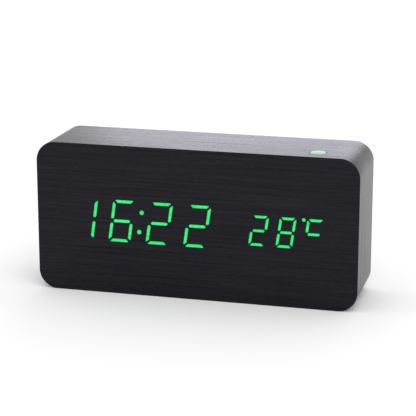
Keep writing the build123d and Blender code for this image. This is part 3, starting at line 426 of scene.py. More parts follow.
def lit_finish():
    """Green glow, brighter in pools and between the film's fibres, and dimmer at a bar's rim."""
    finish, tree, shader = new_finish(
        "lit guide",
        {"Base Color": lit_film, "Roughness": 0.4, "Specular IOR Level": 0.2, "Emission Strength": 1.0},
    )
    grain = add_node(tree, "ShaderNodeGroup", node_tree=film_grain)
    tree.links.new(upright_place(tree), grain.inputs["Place"])
    place = add_node(tree, "ShaderNodeTexCoord").outputs["Object"]
    pools = add_node(tree, "ShaderNodeTexNoise", {"Vector": place, "Scale": 900.0, "Detail": 2.0})
    mottle = add_node(
        tree, "ShaderNodeMath", {0: grain.outputs["Fibres"], 1: pools.outputs["Fac"]}, operation="ADD"
    )
    level = add_node(
        tree, "ShaderNodeMapRange", {"Value": mottle.outputs[0], "From Min": 0.82, "From Max": 1.18}
    )
    core = add_node(
        tree,
        "ShaderNodeMix",
        {"Factor": level.outputs["Result"], "A": lit_deep, "B": lit_bright},
        data_type="RGBA",
    )
    glow = add_node(tree, "ShaderNodeAttribute", attribute_name="glow").outputs["Fac"]
    colour = add_node(
        tree,
        "ShaderNodeMix",
        {"Factor": glow, "A": lit_rim, "B": core.outputs["Result"]},
        data_type="RGBA",
    )
    tree.links.new(colour.outputs["Result"], shader.inputs["Emission Color"])
    return finish


def merged_copy(node):
    """Copy of a solid's mesh with its loose triangles joined up and its flat faces whole."""
    copy = bmesh.new()
    copy.from_mesh(frame["nodes"][node].data)
    bmesh.ops.remove_doubles(copy, verts=copy.verts, dist=0.0005 * MM)
    bmesh.ops.dissolve_limit(copy, angle_limit=radians(0.3), verts=copy.verts, edges=copy.edges)
    return copy


lit_guide = lit_finish()
for node in ("time_segments", "temperature_segments"):
    guides = merged_copy(node)
    glow = guides.verts.layers.float.new("glow")
    fronts = [face for face in guides.faces if face.normal.y < -square_on]
    bmesh.ops.inset_individual(guides, faces=fronts, thickness=lit_rim_width, use_even_offset=True)
    for face in fronts:
        for vertex in face.verts:
            vertex[glow] = 1.0
    guides_mesh = bpy.data.meshes.new(node + "_glowing")
    guides.to_mesh(guides_mesh)
    guides.free()
    guides_mesh.materials.append(lit_guide)
    new_piece(node + "_glowing", guides_mesh, "clock_case", "lit_green", node)


# Unlit guides: the same milky acrylic, dark behind the film.
# Fine haze inside the acrylic scatters the light.
drift_darkest = 0.88
drift_lightest = 1.12
gloss_spread = 0.08


def moulded_finish(name, colour, roughness, texture, depth, sockets=None):
    """Moulded plastic: a colour with a faint drift, and a spark-eroded texture of that size and depth."""
    finish, tree, shader = new_finish(name, sockets or {})
    place = add_node(tree, "ShaderNodeTexCoord").outputs["Object"]
    grit = add_node(tree, "ShaderNodeTexNoise", {"Vector": place, "Scale": 1 / texture, "Detail": 3.0})
    drift = add_node(tree, "ShaderNodeTexNoise", {"Vector": place, "Scale": 60.0, "Detail": 2.0})
    tint = add_node(
        tree,
        "ShaderNodeMix",
        {
            "Factor": drift.outputs["Fac"],
            "A": (*[drift_darkest * part for part in colour], 1),
            "B": (*[min(1.0, drift_lightest * part) for part in colour], 1),
        },
        data_type="RGBA",
    )
    gloss = add_node(
        tree,
        "ShaderNodeMapRange",
        {
            "Value": grit.outputs["Fac"],
            "To Min": roughness - gloss_spread,
            "To Max": roughness + gloss_spread,
        },
    )
    bump = add_node(
        tree, "ShaderNodeBump", {"Strength": 0.5, "Distance": depth, "Height": grit.outputs["Fac"]}
    )
    tree.links.new(tint.outputs["Result"], shader.inputs["Base Color"])
    tree.links.new(gloss.outputs["Result"], shader.inputs["Roughness"])
    tree.links.new(bump.outputs["Normal"], shader.inputs["Normal"])
    return finish


milky_guide = moulded_finish(
    "milky guide", (0.55, 0.60, 0.55), roughness=0.35, texture=0.5 * MM, depth=0.002 * MM
)
wear("unlit_segments", milky_guide)


# Display housing: white moulded block whose wells carry the light from each chip to its bar.
# It is glued to the back of the front panel.
white_moulding = moulded_finish(
    "white moulding", (0.78, 0.78, 0.75), roughness=0.5, texture=0.3 * MM, depth=0.004 * MM
)
wear("display_housing", white_moulding)


# Circuit boards: woven glass laminate under green solder mask, with copper tracks raised below it.
# The display board closes the back of the wells, and its chips face them.
mask_deep = (0.010, 0.070, 0.028, 1)
mask_pale = (0.040, 0.170, 0.070, 1)


def board_finish():
    """Solder mask, paler over the tracks and with the weave of the laminate in it."""
    finish, tree, shader = new_finish("solder mask", {"Roughness": 0.38})
    place = add_node(tree, "ShaderNodeTexCoord").outputs["Object"]
    pattern = add_node(
        tree,
        "ShaderNodeTexBrick",
        {"Vector": place, "Scale": 220.0, "Mortar Size": 0.16, "Mortar Smooth": 0.2},
    )
    tracks = pattern.outputs["Fac"]
    weave = add_node(tree, "ShaderNodeTexNoise", {"Vector": place, "Scale": 2500.0}).outputs["Fac"]
    level = add_node(tree, "ShaderNodeMath", {0: tracks, 1: weave}, operation="MULTIPLY").outputs[0]
    colour = add_node(
        tree, "ShaderNodeMix", {"Factor": level, "A": mask_deep, "B": mask_pale}, data_type="RGBA"
    )
    bump = add_node(
        tree, "ShaderNodeBump", {"Strength": 0.4, "Distance": 0.03 * MM, "Height": tracks}
    )
    tree.links.new(colour.outputs["Result"], shader.inputs["Base Color"])
    tree.links.new(bump.outputs["Normal"], shader.inputs["Normal"])
    return finish


solder_mask = board_finish()
for board in ("display_board", "control_board", "snooze_board"):
    wear(board, solder_mask)

light_chip = moulded_finish(
    "chip resin", (0.80, 0.78, 0.55), roughness=0.2, texture=0.4 * MM, depth=0.002 * MM
)
wear("segment_leds", light_chip)


# Screws inside, of plated steel: they hold the display board, the control board and the snooze board.
# Their heads are plain, as turned.
mark_darkest = 0.85
mark_lightest = 1.1
polish_spread = 0.08
wear_spread = 0.1


def metal_finish(name, colour, roughness, width, along):
    """Plated metal with fine marks of that width, as many times longer on each axis as along says."""
    finish, tree, shader = new_finish(name, {"Metallic": 1.0})
    place = add_node(tree, "ShaderNodeTexCoord").outputs["Object"]
    scale = tuple(1 / (width * times) for times in along)
    stretched = add_node(tree, "ShaderNodeVectorMath", {0: place, 1: scale}, operation="MULTIPLY")
    marks = add_node(
        tree, "ShaderNodeTexNoise", {"Vector": stretched.outputs[0], "Scale": 1.0, "Detail": 3.0}
    )
    tint = add_node(
        tree,
        "ShaderNodeMix",
        {
            "Factor": marks.outputs["Fac"],
            "A": (*[mark_darkest * part for part in colour], 1),
            "B": (*[min(1.0, mark_lightest * part) for part in colour], 1),
        },
        data_type="RGBA",
    )
    gloss = add_node(
        tree,
        "ShaderNodeMapRange",
        {
            "Value": marks.outputs["Fac"],
            "To Min": roughness - polish_spread,
            "To Max": roughness + wear_spread,
        },
    )
    tree.links.new(tint.outputs["Result"], shader.inputs["Base Color"])
    tree.links.new(gloss.outputs["Result"], shader.inputs["Roughness"])
    return finish


plated_steel = metal_finish(
    "plated steel", (0.42, 0.42, 0.44), roughness=0.34, width=0.2 * MM, along=(1, 1, 1)
)
for screws in ("display_screws", "control_screws", "snooze_screws"):
    wear(screws, plated_steel)


# Parts on the boards: chips in black epoxy, a crystal, a capacitor and a microphone in bright cans,
# the coin cell that keeps the time, switches, a buzzer, and connectors of black plastic.
# They are soldered on. The coin cell sits in its holder, and a row of gold pins links the boards.
chip_epoxy = moulded_finish(
    "chip epoxy", (0.030, 0.030, 0.031), roughness=0.6, texture=0.12 * MM, depth=0.006 * MM
)
bright_can = metal_finish(
    "bright can", (0.66, 0.66, 0.65), roughness=0.28, width=0.25 * MM, along=(1, 1, 8)
)
connector_plastic = moulded_finish(
    "connector plastic", (0.030, 0.030, 0.032), roughness=0.45, texture=0.3 * MM, depth=0.004 * MM
)
gold_pin = metal_finish(
    "gold flash", (0.80, 0.60, 0.26), roughness=0.25, width=0.15 * MM, along=(1, 6, 1)
)
for node in ("controller_chip", "driver_chips"):
    wear(node, chip_epoxy)
for node in ("clock_crystal", "supply_capacitor", "coin_cell", "microphone"):
    wear(node, bright_can)
plain_connectors = ("coin_cell_holder", "header_socket", "header_strip", "snooze_connector")
for node in (*plain_connectors, "buzzer", "tact_switches", "snooze_switch"):
    wear(node, connector_plastic)
wear("header_pins", gold_pin)


# Back panel: fibre board faced with the same film, glued into the rear rabbet.
# Its stepped opening seats the rear cover.
edge_angle = radians(35)
round_segments = 3


def softened(node, radius, reach, finish, slot, name):
    """Copy of a solid with its back's sharp edges rounded, down to reach below its outermost face."""
    copy = merged_copy(node)
    outermost = max(vertex.co.y for vertex in copy.verts)
    outer_edges = [
        edge
        for edge in copy.edges
        if all(vertex.co.y > outermost - reach for vertex in edge.verts)
        and any(face.normal.y > square_on for face in edge.link_faces)
        and edge.is_convex
        and edge.calc_face_angle(0) > edge_angle
    ]
    bmesh.ops.bevel(
        copy,
        geom=outer_edges,
        offset=radius,
        offset_type="OFFSET",
        segments=round_segments,
        profile=0.5,
        affect="EDGES",
    )
    bmesh.ops.dissolve_degenerate(copy, dist=0.001 * MM, edges=copy.edges)
    for face in copy.faces:
        face.smooth = True
        face.material_index = 0
    mesh = bpy.data.meshes.new(name)
    copy.to_mesh(mesh)
    copy.free()
    mesh.materials.append(finish)
    mesh.set_sharp_from_angle(angle=edge_angle)
    blank = bpy.data.objects.new(name + "_blank", mesh)
    bpy.context.scene.collection.objects.link(blank)
    flats = blank.modifiers.new("flat faces", "WEIGHTED_NORMAL")
    flats.keep_sharp = True
    rounded = applied(blank)
    rounded.name = name
    bpy.data.objects.remove(blank)
    return new_piece(name, rounded, frame["nodes"][node]["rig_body"], slot, node)


softened(
    "back_panel",
    radius=0.2 * MM,
    reach=0.5 * MM,
    finish=panel_film,
    slot="wrapped_board",
    name="back_panel_faced",
)


# Rear cover: one black moulding with the battery bay, the door's sill and the control board's bosses.
# Its outside has a fine spark-eroded texture. Four screws hold it to the back panel.
black_moulding = moulded_finish(
    "black moulding", (0.020, 0.020, 0.021), roughness=0.5, texture=0.22 * MM, depth=0.012 * MM
)
softened(
    "rear_cover",
    radius=0.16 * MM,
    reach=0.3 * MM,
    finish=black_moulding,
    slot="black_moulding",
    name="rear_cover_moulding",
)


# Rear cover screws: pan heads with a cross recess, of black plated steel, sunk in counterbores.
# They cut their own thread in the back panel.
black_plate = metal_finish(
    "black plate", (0.10, 0.10, 0.105), roughness=0.36, width=0.2 * MM, along=(1, 1, 1)
)
screw_head_radius = 1.7 * MM
screw_head_height = 1.1 * MM
screw_shank_radius = 1.0 * MM
dome_power = 2.4
dome_fall_share = 0.42
cross_length_share = 1.12
cross_width_share = 0.26
cross_rise_share = 0.55
head_sides = 48
shank_sides = 24
most_twist = 1.2
twist_seed = 4
above_middle = 0.0001 * MM


def screw_tree():
    """Screws at the corners of an upright rectangle: domed head, cross recess and shank."""
    tree = bpy.data.node_groups.new("cover screws", "GeometryNodeTree")
    names = ("Spread X", "Spread Z", "Head Radius", "Head Height", "Shank Radius", "Shank Length")
    for name in names:
        tree.interface.new_socket(name, in_out="INPUT", socket_type="NodeSocketFloat")
    tree.interface.new_socket("Place", in_out="INPUT", socket_type="NodeSocketVector")
    tree.interface.new_socket("Finish", in_out="INPUT", socket_type="NodeSocketMaterial")
    tree.interface.new_socket("Geometry", in_out="OUTPUT", socket_type="NodeSocketGeometry")
    entry = tree.nodes.new("NodeGroupInput").outputs
    exit_node = tree.nodes.new("NodeGroupOutput")

    def worked(operation, first, second):
        return add_node(tree, "ShaderNodeMath", {0: first, 1: second}, operation=operation).outputs[0]

    def raised(geometry, rise, turn=(0, 0, 0)):
        shift = add_node(tree, "ShaderNodeCombineXYZ", {"Z": rise}).outputs[0]
        return add_node(
            tree,
            "GeometryNodeTransform",
            {"Geometry": geometry, "Translation": shift, "Rotation": turn},
        ).outputs[0]

    radius, height = entry["Head Radius"], entry["Head Height"]
    head = add_node(
        tree,
        "GeometryNodeMeshCylinder",
        {
            "Vertices": head_sides,
            "Side Segments": 2,
            "Fill Segments": 6,
            "Radius": radius,
            "Depth": height,
        },
    ).outputs["Mesh"]
    place = add_node(tree, "GeometryNodeInputPosition").outputs[0]
    parts = add_node(tree, "ShaderNodeSeparateXYZ", {"Vector": place}).outputs
    flat = add_node(tree, "ShaderNodeCombineXYZ", {"X": parts["X"], "Y": parts["Y"]}).outputs[0]
    reach = add_node(tree, "ShaderNodeVectorMath", {0: flat}, operation="LENGTH").outputs["Value"]
    share = worked("DIVIDE", reach, radius)
    whole_fall = worked("MULTIPLY", height, -dome_fall_share)
    drop = worked("MULTIPLY", worked("POWER", share, dome_power), whole_fall)
    upper = add_node(
        tree, "FunctionNodeCompare", {0: parts["Z"], 1: above_middle}, operation="GREATER_THAN"
    ).outputs[0]
    fall = add_node(tree, "ShaderNodeCombineXYZ", {"Z": drop}).outputs[0]
    domed = add_node(
        tree, "GeometryNodeSetPosition", {"Geometry": head, "Selection": upper, "Offset": fall}
    ).outputs[0]
    slot_length = worked("MULTIPLY", radius, cross_length_share)
    slot_width = worked("MULTIPLY", radius, cross_width_share)
    slot_size = add_node(
        tree, "ShaderNodeCombineXYZ", {"X": slot_length, "Y": slot_width, "Z": height}
    ).outputs[0]
    slot = add_node(tree, "GeometryNodeMeshCube", {"Size": slot_size}).outputs["Mesh"]
    slot_rise = worked("MULTIPLY", height, cross_rise_share)
    crossed = add_node(tree, "GeometryNodeMeshBoolean", operation="DIFFERENCE", solver="EXACT")
    tree.links.new(domed, crossed.inputs[0])
    tree.links.new(raised(slot, slot_rise), crossed.inputs[1])
    tree.links.new(raised(slot, slot_rise, turn=(0, 0, pi / 2)), crossed.inputs[1])
    merged = add_node(
        tree,
        "GeometryNodeMergeByDistance",
        {"Geometry": crossed.outputs["Mesh"], "Distance": 0.002 * MM},
    ).outputs[0]
    shank = add_node(
        tree,
        "GeometryNodeMeshCylinder",
        {"Vertices": shank_sides, "Radius": entry["Shank Radius"], "Depth": entry["Shank Length"]},
    ).outputs["Mesh"]
    screw = add_node(tree, "GeometryNodeJoinGeometry")
    tree.links.new(raised(merged, worked("DIVIDE", height, 2.0)), screw.inputs[0])
    tree.links.new(raised(shank, worked("DIVIDE", entry["Shank Length"], -2.0)), screw.inputs[0])
    corners = add_node(
        tree,
        "GeometryNodeMeshGrid",
        {"Size X": entry["Spread X"], "Size Y": entry["Spread Z"], "Vertices X": 2, "Vertices Y": 2},
    ).outputs["Mesh"]
    twist = add_node(
        tree,
        "FunctionNodeRandomValue",
        {"Min": (0, 0, -most_twist), "Max": (0, 0, most_twist), "Seed": twist_seed},
        data_type="FLOAT_VECTOR",
    ).outputs[0]
    spread = add_node(
        tree,
        "GeometryNodeInstanceOnPoints",
        {"Points": corners, "Instance": screw.outputs[0], "Rotation": twist},
    ).outputs[0]
    upright = add_node(
        tree,
        "GeometryNodeTransform",
        {"Geometry": spread, "Translation": entry["Place"], "Rotation": (-pi / 2, 0, 0)},
    ).outputs[0]
    real = add_node(tree, "GeometryNodeRealizeInstances", {"Geometry": upright}).outputs[0]
    dressed = add_node(
        tree, "GeometryNodeSetMaterial", {"Geometry": real, "Material": entry["Finish"]}
    ).outputs[0]
    tree.links.new(dressed, exit_node.inputs[0])
    return tree


def grown(name, tree, values, body, slot, *nodes, start=None):
    """Piece made by a geometry tree with these inputs, as a plain mesh. It grows from start, if given."""
    blank = bpy.data.objects.new(name + "_blank", start or bpy.data.meshes.new(name + "_blank"))
    bpy.context.scene.collection.objects.link(blank)
    modifier = blank.modifiers.new(name, "NODES")
    modifier.node_group = tree
    for item in tree.interface.items_tree:
        if item.in_out == "INPUT" and item.name in values:
            modifier[item.identifier] = values[item.name]
    mesh = applied(blank)
    bpy.data.objects.remove(blank)
    mesh.name = name
    for polygon in mesh.polygons:
        polygon.use_smooth = True
    mesh.set_sharp_from_angle(angle=edge_angle)
    return new_piece(name, mesh, body, slot, *nodes)


screws_low, screws_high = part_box("rear_cover_screws")
screw_middle = (screws_low + screws_high) / 2
grown(
    "rear_cover_screws_recessed",
    screw_tree(),
    {
        "Spread X": screws_high.x - screws_low.x - 2 * screw_head_radius,
        "Spread Z": screws_high.z - screws_low.z - 2 * screw_head_radius,
        "Head Radius": screw_head_radius,
        "Head Height": screw_head_height,
        "Shank Radius": screw_shank_radius,
        "Shank Length": screws_high.y - screws_low.y - screw_head_height,
        "Place": (screw_middle.x, screws_high.y - screw_head_height, screw_middle.z),
        "Finish": black_plate,
    },
    "clock_case",
    "plated_steel",
    "rear_cover_screws",
)


# Battery contacts: stamped plates of nickel-plated steel in the ends of the bay.
# Each minus end has a conical spring of wire, soldered to its plate.
nickel_plate = metal_finish(
    "nickel plate", (0.70, 0.67, 0.62), roughness=0.26, width=0.2 * MM, along=(1, 1, 5)
)
wear("contact_plates", nickel_plate)
wear("contact_springs", nickel_plate)


# Wires: stranded copper in coloured vinyl, from the battery plates and from the snooze board.
# They are soldered on, and the snooze lead's other end is in its connector on the display board.
vinyl_colours = {
    "plus_lead": ("red vinyl", (0.45, 0.020, 0.018)),
    "minus_lead": ("black vinyl", (0.020, 0.020, 0.020)),
    "snooze_lead": ("grey vinyl", (0.30, 0.30, 0.31)),
}
for node, (name, colour) in vinyl_colours.items():
    wear(node, moulded_finish(name, colour, roughness=0.42, texture=0.6 * MM, depth=0.003 * MM))


# Cells: three small round cells in the bay, turned about in series.
# Each is a steel can in a shrunk plastic sleeve of two colours, with bare metal at both ends.
cell_low, cell_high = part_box("battery_cells")
cell_rows = 3
cell_radius = 5.25 * MM
cell_length = 44.5 * MM
cell_sides = 48
cell_round = 0.4 * MM
groove_start = 1.2 * MM
groove_floor_start = 0.9 * MM
groove_floor_end = 0.6 * MM
groove_depth = 0.3 * MM
plus_rim = 0.7 * MM
nub_height = 1.0 * MM
nub_radius = 1.9 * MM
nub_foot = 0.9 * MM
nub_round = 0.3 * MM
bare_inset = 0.75 * MM
shoulder_share = 0.24
shoulder_edge = 0.05 * MM
jacket_body = (0.030, 0.085, 0.130, 1)
jacket_shoulder = (0.56, 0.57, 0.58, 1)


def jacket_finish():
    """Shrunk sleeve: slate blue body, and a grey shoulder at the plus end, which the mesh marks."""
    finish, tree, shader = new_finish("cell jacket", {"Coat Weight": 0.3, "Coat Roughness": 0.15})
    share = add_node(tree, "ShaderNodeAttribute", attribute_name="shoulder").outputs["Fac"]
    place = add_node(tree, "ShaderNodeTexCoord").outputs["Object"]
    flakes = add_node(tree, "ShaderNodeTexNoise", {"Vector": place, "Scale": 3000.0, "Detail": 2.0})
    step = add_node(
        tree, "ShaderNodeMapRange", {"Value": share, "From Min": 0.45, "From Max": 0.55}
    ).outputs["Result"]
    colour = add_node(
        tree,
        "ShaderNodeMix",
        {"Factor": step, "A": jacket_body, "B": jacket_shoulder},
        data_type="RGBA",
    )
    gloss = add_node(
        tree, "ShaderNodeMapRange", {"Value": flakes.outputs["Fac"], "To Min": 0.24, "To Max": 0.40}
    )
    tree.links.new(colour.outputs["Result"], shader.inputs["Base Color"])
    tree.links.new(gloss.outputs["Result"], shader.inputs["Roughness"])
    tree.links.new(step, shader.inputs["Metallic"])
    return finish


cell_jacket = jacket_finish()
cell_half_span = (cell_high.x - cell_low.x) / 2
cell_pitch = (cell_high.z - cell_low.z - 2 * cell_radius) / (cell_rows - 1)
can_end = cell_length - nub_height
shoulder_start = (1 - shoulder_share) * cell_length
cell_profile = [
    (0, 0),
    (cell_radius - groove_start, 0),
    (cell_radius - groove_floor_start, groove_depth),
    (cell_radius - groove_floor_end, groove_depth),
    (cell_radius - cell_round, 0),
    (cell_radius, cell_round),
    (cell_radius, shoulder_start),
    (cell_radius, shoulder_start + shoulder_edge),
    (cell_radius, can_end - cell_round),
    (cell_radius - cell_round, can_end),
    (cell_radius - plus_rim, can_end - groove_depth),
    (nub_radius + nub_foot, can_end - groove_depth),
    (nub_radius, can_end),
    (nub_radius, cell_length - nub_round),
    (nub_radius - nub_round, cell_length),
    (0, cell_length),
]


def cell_mesh():
    """One cell along X with its plus end to the left, and marks for its shoulder and its bare ends."""
    minus_end = cell_length - cell_half_span
    mesh = lathe(cell_profile, (minus_end, 0, 0), (-1, 0, 0), cell_sides)
    shoulder = mesh.attributes.new("shoulder", "FLOAT", "POINT")
    for vertex, mark in zip(mesh.vertices, shoulder.data):
        along = minus_end - vertex.co.x
        mark.value = 1.0 if along > shoulder_start + shoulder_edge / 2 else 0.0
    bare = mesh.attributes.new("bare", "BOOLEAN", "FACE")
    for polygon, mark in zip(mesh.polygons, bare.data):
        from_axis = Vector((polygon.center.y, polygon.center.z)).length
        mark.value = from_axis < cell_radius - bare_inset
    return mesh


def cell_tree():
    """Cells one below the other, each turned about from the last."""
    tree = bpy.data.node_groups.new("cell rows", "GeometryNodeTree")
    inputs = {
        "Cell": "Geometry",
        "Rows": "Int",
        "Pitch": "Float",
        "Place": "Vector",
        "Jacket": "Material",
        "Can": "Material",
    }
    for name, kind in inputs.items():
        tree.interface.new_socket(name, in_out="INPUT", socket_type="NodeSocket" + kind)
    tree.interface.new_socket("Geometry", in_out="OUTPUT", socket_type="NodeSocketGeometry")
    entry = tree.nodes.new("NodeGroupInput").outputs
    exit_node = tree.nodes.new("NodeGroupOutput")

    def made(kind, sockets, **settings):
        return add_node(tree, kind, sockets, **settings).outputs[0]

    drop = made("ShaderNodeMath", {0: entry["Pitch"], 1: -1.0}, operation="MULTIPLY")
    step = made("ShaderNodeCombineXYZ", {"Z": drop})
    column = made("GeometryNodeMeshLine", {"Count": entry["Rows"], "Offset": step})
    number = made("GeometryNodeInputIndex", {})
    half_turns = made("ShaderNodeMath", {0: number, 1: pi}, operation="MULTIPLY")
    turn = made("ShaderNodeCombineXYZ", {"Z": half_turns})
    rows = made(
        "GeometryNodeInstanceOnPoints",
        {"Points": column, "Instance": entry["Cell"], "Rotation": turn},
    )
    placed = made("GeometryNodeTransform", {"Geometry": rows, "Translation": entry["Place"]})
    real = made("GeometryNodeRealizeInstances", {"Geometry": placed})
    sleeved = made("GeometryNodeSetMaterial", {"Geometry": real, "Material": entry["Jacket"]})
    bare = made("GeometryNodeInputNamedAttribute", {"Name": "bare"}, data_type="BOOLEAN")
    dressed = made(
        "GeometryNodeSetMaterial",
        {"Geometry": sleeved, "Selection": bare, "Material": entry["Can"]},
    )
    tree.links.new(dressed, exit_node.inputs[0])
    return tree


cell_middle = (cell_low + cell_high) / 2
grown(
    "battery_cells_sleeved",
    cell_tree(),
    {
        "Rows": cell_rows,
        "Pitch": cell_pitch,
        "Place": (cell_middle.x, cell_middle.y, cell_high.z - cell_radius),
        "Jacket": cell_jacket,
        "Can": bright_can,
    },
    "clock_case",
    "cell_jacket",
    "battery_cells",
    start=cell_mesh(),
)


# Battery door: flat moulded lid that hooks round the sill and snaps in with the tongue at its top.
# Three ribs on the tongue give the thumb a grip.
softened(
    "battery_door",
    radius=0.2 * MM,
    reach=0.8 * MM,
    finish=black_moulding,
    slot="black_moulding",
    name="battery_door_moulding",
)


# Rear buttons: moulded caps in the cover's dishes, over the switches on the control board.
# Each cap has a raised sign: a ring to set, and an arrow up and down. Behind it is its switch's plunger.
dark_cap = moulded_finish(
    "dark cap", (0.026, 0.026, 0.028), roughness=0.38, texture=0.3 * MM, depth=0.006 * MM
)
pale_sign = moulded_finish(
    "pale sign", (0.62, 0.62, 0.60), roughness=0.45, texture=0.3 * MM, depth=0.003 * MM
)
for node in ("set_button", "up_button", "down_button"):
    softened(
        node,
        radius=0.2 * MM,
        reach=0.5 * MM,
        finish=dark_cap,
        slot="black_moulding",
        name=node + "_cap",
    )
sign_rise = 0.05 * MM
sign_sink = 0.15 * MM
sign_edge = 0.05 * MM
arrow_radius = 1.15 * MM
arrow_corner = 0.22 * MM
ring_outer = 1.25 * MM
ring_inner = 0.75 * MM
corner_arc_steps = 6


def arrow_mesh(centre, point_angle):
    """Raised triangle with round corners on an upright face that looks to the back."""
    arrow = bmesh.new()
    layers = []
    for depth, shrink in ((-sign_sink, 0.0), (sign_rise - sign_edge, 0.0), (sign_rise, sign_edge)):
        layer = []
        for corner in range(3):
            middle = point_angle + 2 * pi * corner / 3
            for step in range(corner_arc_steps + 1):
                angle = middle + 2 * pi / 3 * (step / corner_arc_steps - 0.5)
                across = arrow_radius * cos(middle) + (arrow_corner - shrink) * cos(angle)
                up = arrow_radius * sin(middle) + (arrow_corner - shrink) * sin(angle)
                layer.append(arrow.verts.new(Vector(centre) + Vector((across, depth, up))))
        layers.append(layer)
    for lower, upper in zip(layers, layers[1:]):
        for index in range(len(lower)):
            after = (index + 1) % len(lower)
            arrow.faces.new((lower[index], lower[after], upper[after], upper[index]))
    arrow.faces.new(layers[0])
    arrow.faces.new(layers[-1])
    bmesh.ops.recalc_face_normals(arrow, faces=arrow.faces)
    mesh = bpy.data.meshes.new("arrow_sign")
    arrow.to_mesh(mesh)
    arrow.free()
    return mesh


ring_profile = [
    (ring_inner, -sign_sink),
    (ring_outer, -sign_sink),
    (ring_outer, sign_rise - sign_edge),
    (ring_outer - sign_edge, sign_rise),
    (ring_inner + sign_edge, sign_rise),
    (ring_inner, sign_rise - sign_edge),
    (ring_inner, -sign_sink),
]
for node, point_angle in (("set_button", None), ("up_button", pi / 2), ("down_button", -pi / 2)):
    cap_low, cap_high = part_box(node)
    cap_face = ((cap_low.x + cap_high.x) / 2, cap_high.y, (cap_low.z + cap_high.z) / 2)
    if point_angle is None:
        sign = lathe(ring_profile, cap_face, (0, 1, 0), round_sides)
    else:
        sign = arrow_mesh(cap_face, point_angle)
    sign.materials.append(pale_sign)
    new_piece(node + "_sign", sign, node, "white_moulding")
plunger_plastic = moulded_finish(
    "plunger plastic", (0.05, 0.05, 0.05), roughness=0.45, texture=0.3 * MM, depth=0.003 * MM
)
for node in ("set_plunger", "up_plunger", "down_plunger", "snooze_plunger"):
    wear(node, plunger_plastic)


# Supply inlet: square moulded socket on the control board, with its round nose in the cover's hole.
# A gold-flashed pin stands in the bore.
softened(
    "supply_inlet",
    radius=0.15 * MM,
    reach=0.5 * MM,
    finish=connector_plastic,
    slot="connector_plastic",
    name="supply_inlet_socket",
)
wear("supply_inlet_pin", gold_pin)


# Temperature sensor: bead of dipped epoxy on two legs, in the air behind the vent slots.
# It stands clear of the board so that the board's warmth doesn't reach it.
sensor_bead = moulded_finish(
    "sensor bead", (0.020, 0.020, 0.022), roughness=0.25, texture=0.5 * MM, depth=0.004 * MM
)
wear("temperature_sensor", sensor_bead)


# Snooze button: pale green moulded cap with a low dome, set in the top of the sleeve.
# Below it are its flange and the stem that presses the switch, whose board stands on white spacers.
pale_green = moulded_finish(
    "pale green cap",
    (0.31, 0.57, 0.32),
    roughness=0.38,
    texture=0.8 * MM,
    depth=0.001 * MM,
    sockets={"Specular IOR Level": 0.35},
)
snooze_flange_radius = snooze_high.x - snooze_middle.x
snooze_flange_drop = 5.05 * MM
snooze_flange_height = 1.0 * MM
snooze_stem_radius = 1.6 * MM
snooze_crown = 0.5 * MM
snooze_rim = 0.1 * MM
edge_round = 0.15 * MM
crown_steps = 10
case_top = sleeve_high.z
dome_radius = (snooze_radius**2 + snooze_crown**2) / (2 * snooze_crown)
flange_top = case_top - snooze_flange_drop
snooze_profile = [
    (0, snooze_low.z),
    (snooze_stem_radius, snooze_low.z),
    (snooze_stem_radius, flange_top - snooze_flange_height),
    (snooze_flange_radius, flange_top - snooze_flange_height),
    (snooze_flange_radius, flange_top),
    (snooze_radius, flange_top),
    (snooze_radius, case_top + snooze_rim - edge_round),
]
for step in range(crown_steps):
    reach = (snooze_radius - edge_round) * (1 - step / (crown_steps - 1))
    height = case_top + snooze_rim + snooze_crown - dome_radius + (dome_radius**2 - reach**2) ** 0.5
    snooze_profile.append((reach, height))
snooze_mesh = lathe(snooze_profile, (snooze_middle.x, snooze_middle.y, 0), (0, 0, 1), round_sides)
snooze_mesh.name = "snooze_button_cap"
snooze_mesh.materials.append(pale_green)
new_piece("snooze_button_cap", snooze_mesh, "snooze_button", "pale_green_cap", "snooze_button")
wear("snooze_spacers", white_moulding)


# Studio: a pale floor and white surroundings, as for a catalogue picture.
# A large soft box stands behind, so that its light grazes the top. Another hangs in front, to the right.
floor_reach = 4.0
floor_level = -0.02 * MM
floor_deep = (0.93, 0.93, 0.93, 1)
floor_pale = (0.95, 0.95, 0.95, 1)
floor_mesh = bpy.data.meshes.new("floor")
floor_signs = ((-1, -1), (1, -1), (1, 1), (-1, 1))
floor_corners = [(x * floor_reach, y * floor_reach, floor_level) for x, y in floor_signs]
floor_mesh.from_pydata(floor_corners, [], [(0, 1, 2, 3)])
floor = bpy.data.objects.new("floor", floor_mesh)
bpy.context.scene.collection.objects.link(floor)
floor_paint, floor_tree, floor_shader = new_finish(
    "floor paint", {"Roughness": 0.9, "Specular IOR Level": 0.0}
)
floor_place = add_node(floor_tree, "ShaderNodeTexCoord").outputs["Object"]
floor_drift = add_node(floor_tree, "ShaderNodeTexNoise", {"Vector": floor_place, "Scale": 3.0})
floor_tint = add_node(
    floor_tree,
    "ShaderNodeMix",
    {"Factor": floor_drift.outputs["Fac"], "A": floor_deep, "B": floor_pale},
    data_type="RGBA",
)
floor_tree.links.new(floor_tint.outputs["Result"], floor_shader.inputs["Base Color"])
floor_mesh.materials.append(floor_paint)

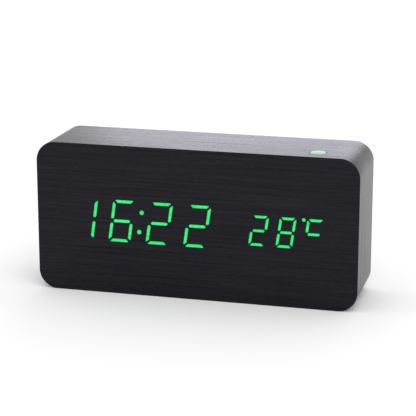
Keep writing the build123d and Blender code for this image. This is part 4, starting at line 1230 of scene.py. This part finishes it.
world = bpy.data.worlds.new("studio")
bpy.context.scene.world = world
world.use_nodes = True
sky = world.node_tree
sky.nodes.clear()
rays = add_node(sky, "ShaderNodeLightPath").outputs
seen = rays["Is Camera Ray"]
for ray in ("Is Glossy Ray", "Is Transmission Ray"):
    seen = add_node(sky, "ShaderNodeMath", {0: seen, 1: rays[ray]}, operation="MAXIMUM").outputs[0]
plain_white = (1, 1, 1, 1)
fill = add_node(sky, "ShaderNodeBackground", {"Color": plain_white, "Strength": 0.97})
white = add_node(sky, "ShaderNodeBackground", {"Color": plain_white, "Strength": 1.0})
blend = add_node(sky, "ShaderNodeMixShader", {0: seen, 1: fill.outputs[0], 2: white.outputs[0]})
add_node(sky, "ShaderNodeOutputWorld", {"Surface": blend.outputs[0]})


def soft_box(name, place, target, width, height, power, colour):
    """Rectangular area light that faces its target and isn't seen itself."""
    lamp = bpy.data.lights.new(name, "AREA")
    lamp.shape = "RECTANGLE"
    lamp.size = width
    lamp.size_y = height
    lamp.energy = power
    lamp.color = colour
    box = bpy.data.objects.new(name, lamp)
    bpy.context.scene.collection.objects.link(box)
    box.location = place
    box.rotation_euler = (Vector(target) - Vector(place)).to_track_quat("-Z", "Y").to_euler()
    box.visible_camera = False


case_middle = (0, 0, sleeve_high.z / 2)
soft_box(
    "back box",
    place=(-0.121, 1.10, 0.51),
    target=case_middle,
    width=0.633,
    height=0.8,
    power=2.5,
    colour=(0.87, 0.84, 1.0),
)
soft_box(
    "front box",
    place=(0.5, -0.9, 1.2),
    target=case_middle,
    width=0.9,
    height=0.9,
    power=5.0,
    colour=(1, 1, 1),
)


# Camera: a long lens a little to the right of the clock and above it.
# Its place follows from the angle, the distance and where the clock stands in the picture.
camera_turn = radians(14.7508)
camera_tilt = radians(14.9628)
camera_distance = 727.24 * MM
camera_right = 1.3927 * MM
camera_up = 3.3233 * MM
camera_data = bpy.data.cameras.new("camera")
camera_data.sensor_width = 36.0
camera_data.lens = 136.03
camera = bpy.data.objects.new("camera", camera_data)
bpy.context.scene.collection.objects.link(camera)
ahead = Vector((-sin(camera_turn), cos(camera_turn), 0))
forward = ahead * cos(camera_tilt) - Vector((0, 0, sin(camera_tilt)))
rightward = Vector((cos(camera_turn), sin(camera_turn), 0))
upward = rightward.cross(forward)
aim = Vector(case_middle) + rightward * camera_right + upward * camera_up
camera.location = aim - forward * camera_distance
camera.rotation_euler = forward.to_track_quat("-Z", "Y").to_euler()
bpy.context.scene.camera = camera
bpy.context.scene.view_settings.view_transform = "Standard"
